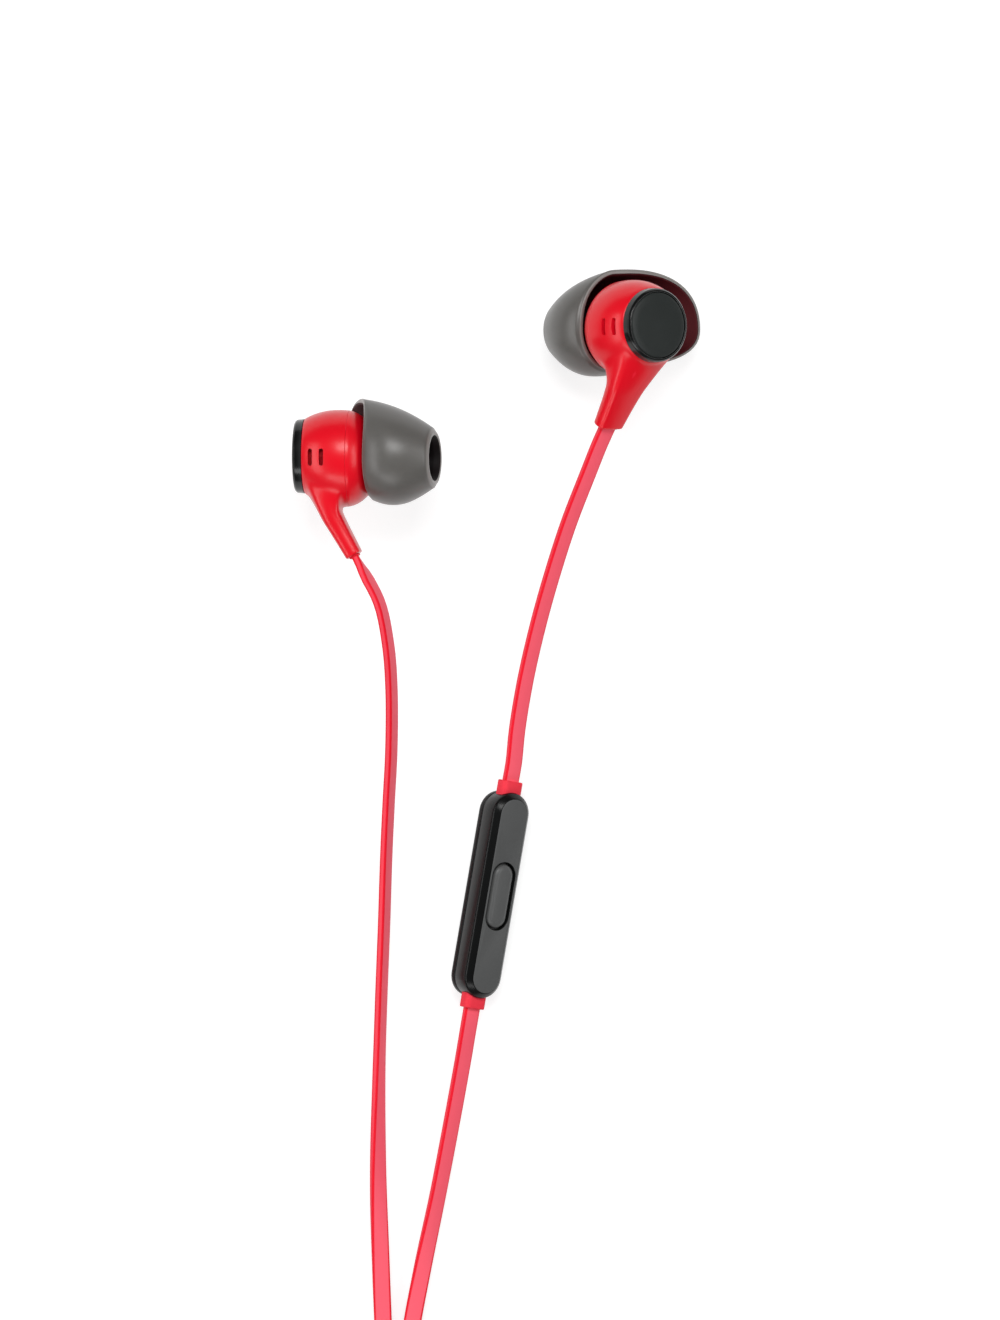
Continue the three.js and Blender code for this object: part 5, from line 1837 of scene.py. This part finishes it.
@dataclass(frozen=True)
class Collar:
    """A red collar about the cable, sunk in a seat in the end of a case.

    `x` and `middle` place it across the case and above it, `end` is the case's end along Y,
    and `sign` is 1 or -1, the way that it points along Y.
    """

    x: float
    end: float
    middle: float
    sign: int
    width: float = 4.1
    height: float = 2.7
    length: float = 2.7
    corner: float = 0.9
    edge: float = 0.22
    sunk: float = 0.8
    reach: float = 1.9
    line_share: float = 0.7
    seat_width: float = 4.2
    seat_height: float = 2.8
    seat_corner: float = 0.92
    seat_span: tuple[float, float] = (-0.1, 4.0)

    def seated(self, blank: Blank) -> Blank:
        """Turns a blank to the collar's way and sets it in the case's end.

        Args:
            blank: The blank, built along Z.

        Returns:
            The blank.
        """
        blank.move(Matrix.Rotation(-self.sign * math.pi / 2, 4, "X"))
        depth = self.end - self.sign * self.sunk
        return blank.move(Matrix.Translation((self.x, depth, self.middle)))

    def sleeve(self) -> Blank:
        """The collar itself."""
        block = Blank.block(self.width, self.height, 0.0, self.length, self.corner, 6)
        return self.seated(block.ease(self.edge, 3).tone(self.line_share))

    def notch(self) -> Blank:
        """The cutter for the collar's seat."""
        size = (self.seat_width, self.seat_height, *self.seat_span)
        return self.seated(Blank.block(*size, self.seat_corner, 6))

    def gate(self, place: Place, roll: float = 0.0) -> Gate:
        """The gate at the collar's mouth.

        Args:
            place: Where the case stands.
            roll: How far the cable is rolled there, in degrees.

        Returns:
            The gate.
        """
        mouth = place.point(self.x, self.end + self.sign * self.reach, self.middle)
        return Gate(mouth, place.way(0.0, self.sign, 0.0), roll)


@dataclass
class Controller:
    """The in-line controller: two shells, the button, the collars and the board inside."""

    place: Place
    length: float = 35.3
    width: float = 7.4
    front: float = 4.2
    back: float = 1.4
    wall: float = 1.0
    back_depth: float = 0.65
    facets: int = 16
    chamfer: float = 1.0
    chamfer_round: float = 0.28
    back_round: float = 0.55
    seam_gap: float = 0.03
    seam_bevel: float = 0.16
    side_normal: float = 0.93
    roll: float = 35.0
    button_length: float = 11.0
    button_width: float = 4.0
    button_proud: float = 0.3
    button_crown: float = 0.95
    flange: float = 0.5
    flange_gap: float = 0.3
    nub_radius: float = 0.8
    nub_foot: float = 1.95
    groove: float = 0.3
    groove_edge: float = 0.1
    port: float = 11.5
    port_radius: float = 0.4
    port_height: float = 1.6

    def collar(self, sign: int) -> Collar:
        """The collar at the top, for 1, or at the bottom, for -1."""
        return Collar(0.0, sign * self.length / 2, (self.front - self.back) / 2, sign)

    def gate(self, sign: int) -> Gate:
        """The gate at the top, for 1, or at the bottom, for -1."""
        return self.collar(sign).gate(self.place, self.roll)

    def hollow(self, low: float, high: float) -> Blank:
        """The cutter for a shell's inside, from one height to another."""
        width, length = (size - 2 * self.wall for size in (self.width, self.length))
        return Blank.block(width, length, low, high, width / 2)

    def front_shell(self) -> Blank:
        """The chamfered front with its button opening and sound port.

        Returns:
            The blank.
        """
        top, gap = self.front, self.seam_gap
        shell = Blank.block(self.width, self.length, gap, top, self.width / 2, self.facets)
        shell.ease(self.chamfer, 1, 60.0, lambda spot: spot.z > top - CLOSE)
        shell.ease(self.chamfer_round, 4, 30.0, lambda spot: spot.z > top - self.chamfer - 0.05)
        shell.ease(self.seam_bevel, 2, 60.0, lambda spot: spot.z < gap + CLOSE)
        width, length = self.button_width + 2 * self.groove, self.button_length + 2 * self.groove
        window = Blank.block(width, length, 1.0, 9.0, width / 2, 12)
        rows = [(0.0, 1.0), (self.port_radius, 1.0), (self.port_radius, 9.0), (0.0, 9.0)]
        port = Blank.lathe(rows, 20).move(Matrix.Rotation(math.pi / 2, 4, "Y"))
        port.move(Matrix.Translation((0.0, self.port, self.port_height)))
        seats = [self.collar(sign).notch() for sign in (1, -1)]
        cut = shell.carved(self.hollow(-1.0, top - self.wall), window, port, *seats)

        def at_window(spot: Vector) -> bool:
            """Whether a point is on the mouth of the button's opening.

            Args:
                spot: The point.

            Returns:
                True if it is.
            """
            near = abs(spot.x) < width / 2 + 0.05 and abs(spot.y) < self.button_length / 2 + 0.4
            return near and spot.z > top - CLOSE

        return cut.tidy().ease(self.groove_edge, 2, 50.0, at_window)

    def back_shell(self) -> Blank:
        """The shallow back.

        Returns:
            The blank.
        """
        foot, gap = -self.back, self.seam_gap
        shell = Blank.block(self.width, self.length, foot, -gap, self.width / 2, self.facets)
        shell.ease(self.back_round, 4, 60.0, lambda spot: spot.z < foot + CLOSE)
        shell.ease(self.seam_bevel, 2, 60.0, lambda spot: spot.z > -gap - CLOSE)
        seats = [self.collar(sign).notch() for sign in (1, -1)]
        return shell.carved(self.hollow(-self.back_depth, 1.0), *seats).tidy()

    def button(self) -> Blank:
        """The pill button, crowned, on its flange and nub.

        Returns:
            The blank.
        """
        foot = self.front - self.wall - self.flange_gap - self.flange
        top = self.front + self.button_proud
        width, length = self.button_width, self.button_length
        key = Blank.block(width, length, foot + 0.4, top, width / 2, 12)
        key.ease(self.button_crown, 7, 60.0, lambda spot: spot.z > top - CLOSE)
        rim = foot + self.flange
        flange = Blank.block(width + 1.0, length + 1.2, foot, rim, width / 2 + 0.5, 10)
        low, high, radius = self.nub_foot, foot + 0.1, self.nub_radius
        nub = Blank.lathe([(0.0, low), (radius, low), (radius, high), (0.0, high)], 24)
        return key.join(flange.ease(0.08, 1), nub)

    def build(self) -> None:
        """Makes the controller's pieces and dresses the solids inside it."""
        place = self.place
        front = self.front_shell().paint(lambda face: face.normal.z < self.side_normal)
        front.piece(
            "controller_front",
            place,
            Finish.BLACK_SHELL,
            ["control_front_shell"],
            sharp=50.0,
            accent=Finish.BLACK_SIDE,
        )
        self.back_shell().piece(
            "controller_back", place, Finish.BLACK_SIDE, ["control_back_shell"], sharp=50.0
        )
        self.button().piece(
            "controller_button", place, Finish.GREY_BUTTON, ["control_button"], Body.BUTTON
        )
        for name, sign in (("top", 1), ("bottom", -1)):
            self.collar(sign).sleeve().piece(
                f"controller_collar_{name}", place, Finish.RED_CABLE, [f"control_collar_{name}"]
            )
        dress("control_board", Finish.CIRCUIT)
        dress("control_switch", Finish.STEEL)
        dress("control_mic", Finish.STEEL)


@dataclass
class Splitter:
    """The splitter, where the two earpieces' cables meet the main one."""

    place: Place
    width: float = 10.0
    length: float = 14.0
    height: float = 4.6
    corner: float = 3.0
    edge: float = 0.7
    pitch: float = 4.6
    seam_share: float = 0.4
    seam_gap: float = 0.03

    def collars(self) -> dict[str, Collar]:
        """The collars of the right, left and main cables.

        Returns:
            The collars by name, in that order.
        """
        end, middle, half = self.length / 2, self.height / 2, self.pitch / 2
        rows = (("right", -half, 1), ("left", half, 1), ("main", 0.0, -1))
        return {name: Collar(x, sign * end, middle, sign) for name, x, sign in rows}

    def gates(self) -> list[Gate]:
        """The gates of the right, left and main cables, in that order."""
        return [collar.gate(self.place) for collar in self.collars().values()]

    def build(self) -> None:
        """Makes the splitter's shells and collars."""
        place, collars = self.place, self.collars()
        seam, gap = self.seam_share * self.height, self.seam_gap
        for name, low, high in (("back", 0.0, seam - gap), ("front", seam + gap, self.height)):
            shell = Blank.block(self.width, self.length, low, high, self.corner, 10)
            rim = high if name == "front" else low
            shell.ease(self.edge, 5, 60.0, lambda spot, rim=rim: abs(spot.z - rim) < CLOSE)
            shell = shell.carved(*(collar.notch() for collar in collars.values())).tidy()
            nodes = [f"splitter_{name}_shell"]
            shell.piece(f"splitter_{name}", place, Finish.BLACK_SHELL, nodes, sharp=50.0)
        for name, collar in collars.items():
            collar.sleeve().piece(
                f"splitter_sleeve_{name}", place, Finish.RED_CABLE, [f"splitter_collar_{name}"]
            )


@dataclass
class Plug:
    """The four-pole plug with its right-angled grip and its cable relief."""

    place: Place
    pieces: list[bpy.types.Object] = field(default_factory=list)
    radius: float = 3.5
    length: float = 10.5
    neck: float = 6.0
    edge: float = 0.6
    groove_count: int = 4
    groove_start: float = 5.9
    groove_pitch: float = 1.3
    groove_rows: Outline = ((0.0, 0.0), (0.22, 0.08), (0.22, 0.42), (0.0, 0.5))
    relief: float = 8.0
    relief_gap: float = 0.15
    relief_rings: int = 24
    relief_taper: float = 0.3
    relief_step: int = 4
    relief_groove: float = 0.93
    relief_span: tuple[float, float] = (0.05, 0.95)
    pin_radius: float = 1.75
    pin_length: float = 14.0
    pin_core: float = 0.95
    pin_gap: float = 0.7
    ring: float = 2.4
    sleeve: float = 3.6
    pin_root: float = 2.0
    pin_waist: Outline = ((0.0, 0.35), (-0.42, 0.95), (-0.5, 1.15), (-0.4, 1.4))
    pin_point: Outline = (
        (-0.08, -1.7), (-0.1, -1.45), (-0.5, -0.6), (-0.95, -0.12), (-1.35, 0.0),
    )

    def gate(self) -> Gate:
        """The gate where the cable enters the relief."""
        reach = self.length + self.relief_gap + self.relief
        return Gate(self.place.point(0.0, reach, 0.0), self.place.way(0.0, 1.0, 0.0))

    def sideways(self, blank: Blank, reach: float = 0.0) -> Blank:
        """Turns a blank built along Z to point along the pin, at a reach from the grip's axis."""
        blank.move(Matrix.Translation((0.0, 0.0, reach)))
        return blank.move(Matrix.Rotation(math.radians(-90), 4, "Y"))

    def grip(self) -> Blank:
        """The grip: an upright arm and the neck that holds the pin.

        Returns:
            The blank.
        """
        radius, grooves = self.radius, []
        for k in range(self.groove_count):
            low = self.length - self.groove_start + self.groove_pitch * k
            grooves += [(radius - deep, low + rise) for deep, rise in self.groove_rows]
        arm_rows = [(0.0, -radius), (radius, -radius), *grooves, (radius, self.length)]
        arm = Blank.lathe([*arm_rows, (0.0, self.length)], 64)
        ends = (-radius, self.length)
        arm.ease(self.edge, 5, 60.0, lambda spot: min(abs(spot.z - end) for end in ends) < CLOSE)
        arm.move(Matrix.Rotation(-math.pi / 2, 4, "X"))
        bore, root = self.pin_radius + 0.1, self.neck - self.pin_root
        neck_rows = [(0.0, 0.0), (radius, 0.0), (radius, self.neck), (bore, self.neck)]
        neck = Blank.lathe([*neck_rows, (bore, root), (0.0, root)], 64)
        neck.ease(self.edge, 5, 60.0, lambda spot: spot.xy.length > bore + CLOSE)
        return arm.join(self.sideways(neck))

    def relief_sleeve(self) -> Blank:
        """The tapered relief with its flexing ribs.

        Returns:
            The blank.
        """
        block = Blank.block(4.8, 3.4, 0.0, self.relief, 0.9, 6)
        count = self.relief_rings
        for k in range(1, count):
            bmesh.ops.bisect_plane(
                block.bm,
                geom=block.bm.verts[:] + block.bm.edges[:] + block.bm.faces[:],
                plane_co=(0.0, 0.0, self.relief * k / count),
                plane_no=(0.0, 0.0, 1.0),
            )
        first, last = self.relief_span

        def taper(spot: Vector) -> Sequence[float]:
            """Draws the relief in towards the cable and in again at its flexing grooves.

            Args:
                spot: A point of the straight sleeve.

            Returns:
                Its new place.
            """
            share = spot.z / self.relief
            in_middle = round(share * count) % self.relief_step == self.relief_step // 2
            grooved = in_middle and first < share < last
            width = (1 - self.relief_taper * share) * (self.relief_groove if grooved else 1.0)
            return spot.x * width, spot.y * width, spot.z

        block.reshape(taper).ease(0.1, 2, 60.0)
        block.move(Matrix.Rotation(-math.pi / 2, 4, "X"))
        return block.move(Matrix.Translation((0.0, self.length + self.relief_gap, 0.0)))

    def contacts(self) -> list[tuple[str, Blank]]:
        """The pin's contacts, from the shoulder to the tip.

        Returns:
            Each contact's name and blank.
        """
        radius, core, gap = self.pin_radius, self.pin_core, self.pin_gap
        lower = self.sleeve + gap
        upper = lower + self.ring + gap
        spans = (
            ("sleeve", -self.pin_root, self.sleeve),
            ("ring_lower", lower, lower + self.ring),
            ("ring_upper", upper, upper + self.ring),
        )
        made = []
        for name, low, high in spans:
            rows = [(core, low), (radius, low), (radius, high), (core, high)]
            made.append((name, Blank.lathe(rows, 48, closed=True).ease(0.08, 2, 60.0)))
        start, end = upper + self.ring + gap, self.pin_length
        inside = [(0.0, end - 1.4), (core, end - 1.4), (core, start), (radius, start)]
        waist = [(radius + a, start + b) for a, b in self.pin_waist]
        point = [(radius + a, end + b) for a, b in self.pin_point]
        tip = Blank.lathe([*inside, *waist, *point, (0.0, end)], 48)
        made.append(("tip", tip.ease(0.06, 2, 50.0)))
        return made

    def build(self) -> None:
        """Makes the plug's pieces."""
        place, add = self.place, self.pieces.append
        add(self.grip().piece("plug_handle", place, Finish.BLACK_SHELL, ["plug_grip"], sharp=50.0))
        sleeve = self.relief_sleeve()
        add(sleeve.piece("plug_relief_sleeve", place, Finish.RED_CABLE, ["plug_relief"]))
        for name, blank in self.contacts():
            turned = self.sideways(blank, self.neck)
            add(turned.piece(f"plug_contact_{name}", place, Finish.CONTACT, [f"plug_{name}"]))
        dress("plug_core", Finish.INSULATOR)


@dataclass
class CableTie:
    """The strap that holds the coil together."""

    name: str = "cable_tie"
    node: str = "cord_tie"
    thickness: float = 0.8
    corner: float = 1.4
    inner_corner: float = 0.7
    edge: float = 0.16
    stitches: int = 4
    stitch_pitch: float = 0.5
    stitch_size: tuple[float, float] = (0.16, 0.5)
    stitch_span: tuple[float, float] = (0.75, 0.3)

    def build(self) -> None:
        """Makes the strap, which goes round the bundle with its end lapped over."""
        low, high = (Vector(corner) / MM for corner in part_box(self.node))
        centre, size = (low + high) / 2, high - low
        half, wall = size.x / 2, 2 * self.thickness
        outer = Blank.block(size.y, size.z, -half, half, self.corner, 8).ease(self.edge, 2, 60.0)
        inner = Blank.block(size.y - wall, size.z - wall, -9.0, 9.0, self.inner_corner, 6)
        band = outer.carved(inner).tidy()
        ridges = []
        start, end = (half - reach for reach in self.stitch_span)
        for k in range(-self.stitches, self.stitches + 1):
            stitch = Blank.block(*self.stitch_size, start, end, 0.07, 3)
            spot = (k * self.stitch_pitch, size.z / 2, 0.0)
            ridges.append(stitch.move(Matrix.Translation(spot)))
        turn = Matrix(((0.0, 0.0, 1.0), (1.0, 0.0, 0.0), (0.0, 1.0, 0.0))).to_4x4()
        band = band.carved(*ridges).move(turn).move(Matrix.Translation(centre))
        band.piece(self.name, IN_PLACE, Finish.STRAP, [self.node])


# --- studio ----------------------------------------------------------------------------------


@dataclass(frozen=True)
class Lamp:
    """A soft lamp.

    `place` is where it hangs, in metres from the middle of the object, `size` is its width
    and height in metres, and `power` is in watts.
    """

    name: str
    place: Point
    size: tuple[float, float]
    power: float

    def hang(self, target: Vector) -> None:
        """Hangs the lamp.

        Args:
            target: The point that it faces.
        """
        light = bpy.data.lights.new(self.name, "AREA")
        light.shape = "RECTANGLE"
        light.size, light.size_y = self.size
        light.energy = self.power
        lamp = bpy.data.objects.new(self.name, light)
        lamp.location = target + Vector(self.place)
        lamp.rotation_euler = (-Vector(self.place)).to_track_quat("-Z", "Y").to_euler()
        bpy.context.scene.collection.objects.link(lamp)


@dataclass
class Studio:
    """The floor, the lamps, the sky and the camera."""

    middle: tuple[float, float] = (0.000574, -0.04146)
    middle_height: float = 0.01
    distance: float = 1.8
    lens: float = 381.0
    sensor: float = 36.0
    clip: tuple[float, float] = (0.05, 20.0)
    floor_size: float = 6.0
    floor_grey: float = 0.42
    floor_roughness: float = 0.9
    floor_glow: float = 0.7
    sky_dimming: float = 0.86
    lamps: tuple[Lamp, ...] = (
        Lamp("key", (0.02, 0.42, 0.8), (0.45, 0.3), 4.3),
        Lamp("left strip", (-0.6, -0.02, 0.45), (0.9, 0.2), 2.4),
        Lamp("low", (-0.15, -0.62, 0.5), (0.6, 0.2), 1.6),
        Lamp("right strip", (0.6, 0.1, 0.55), (0.6, 0.25), 1.9),
    )

    def floor(self) -> None:
        """Lays a plain white floor that keeps a faint shadow."""
        bm = bmesh.new()
        bmesh.ops.create_grid(bm, x_segments=8, y_segments=8, size=self.floor_size / 2)
        mesh = bpy.data.meshes.new("floor")
        bm.to_mesh(mesh)
        bm.free()
        ground = bpy.data.objects.new("floor", mesh)
        bpy.context.scene.collection.objects.link(ground)
        material, graph, shader = new_material("studio_white")
        shader.inputs["Base Color"].default_value = (*(self.floor_grey,) * 3, 1.0)
        shader.inputs["Roughness"].default_value = self.floor_roughness
        path = graph.add("ShaderNodeLightPath")
        seen = graph.math("ADD", path.outputs["Is Camera Ray"], path.outputs["Is Glossy Ray"])
        seen = graph.math("ADD", seen, path.outputs["Is Transmission Ray"])
        shader.inputs["Emission Color"].default_value = WHITE
        glow = graph.math("MULTIPLY", seen, self.floor_glow)
        graph.feed(shader.inputs["Emission Strength"], glow)
        mesh.materials.append(material)
        ground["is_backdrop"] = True

    def sky(self) -> None:
        """Fills the surroundings with even light."""
        world = bpy.data.worlds.new("studio")
        world.use_nodes = True
        graph = Graph(world.node_tree)
        back = world.node_tree.nodes["Background"]
        path = graph.add("ShaderNodeLightPath")
        bare = graph.math("SUBTRACT", 1.0, path.outputs["Is Camera Ray"])
        back.inputs["Color"].default_value = WHITE
        dim = graph.math("MULTIPLY", bare, self.sky_dimming)
        graph.feed(back.inputs["Strength"], graph.math("SUBTRACT", 1.0, dim))
        bpy.context.scene.world = world

    def camera(self) -> None:
        """Looks straight down at the earpieces and the controller."""
        data = bpy.data.cameras.new("camera")
        data.sensor_fit = "HORIZONTAL"
        data.sensor_width = self.sensor
        data.lens = self.lens
        data.clip_start, data.clip_end = self.clip
        eye = bpy.data.objects.new("camera", data)
        eye.location = (*self.middle, self.distance)
        bpy.context.scene.collection.objects.link(eye)
        bpy.context.scene.camera = eye

    def build(self) -> None:
        """Sets up the whole studio."""
        self.camera()
        self.floor()
        self.sky()
        for lamp in self.lamps:
            lamp.hang(Vector((*self.middle, self.middle_height)))
        bpy.context.scene.view_settings.view_transform = "Standard"


def write_sizes() -> None:
    """Works out the solids' box and the finished object's box."""
    boxes = {"cad": CAD_BOX, "visual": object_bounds()}
    rows = {name: [[float(x) for x in corner] for corner in box] for name, box in boxes.items()}


def main() -> None:
    """Builds the studio and every sub-assembly, in order."""
    logging.basicConfig(level=logging.INFO, format="%(name)s: %(message)s")
    Studio().build()
    left = Earpiece("left", LEFT_PLACE, Body.LEFT_TIP)
    right = Earpiece("right", RIGHT_PLACE, Body.RIGHT_TIP)
    controller = Controller(CONTROL_PLACE)
    splitter = Splitter(SPLITTER_PLACE)
    plug = Plug(PLUG_PLACE)
    for part in (left, right, controller, splitter, plug, CableTie()):
        part.build()
    Cables(left, right, controller, splitter, plug).build()
    write_sizes()


if __name__ == "__main__":
    main()
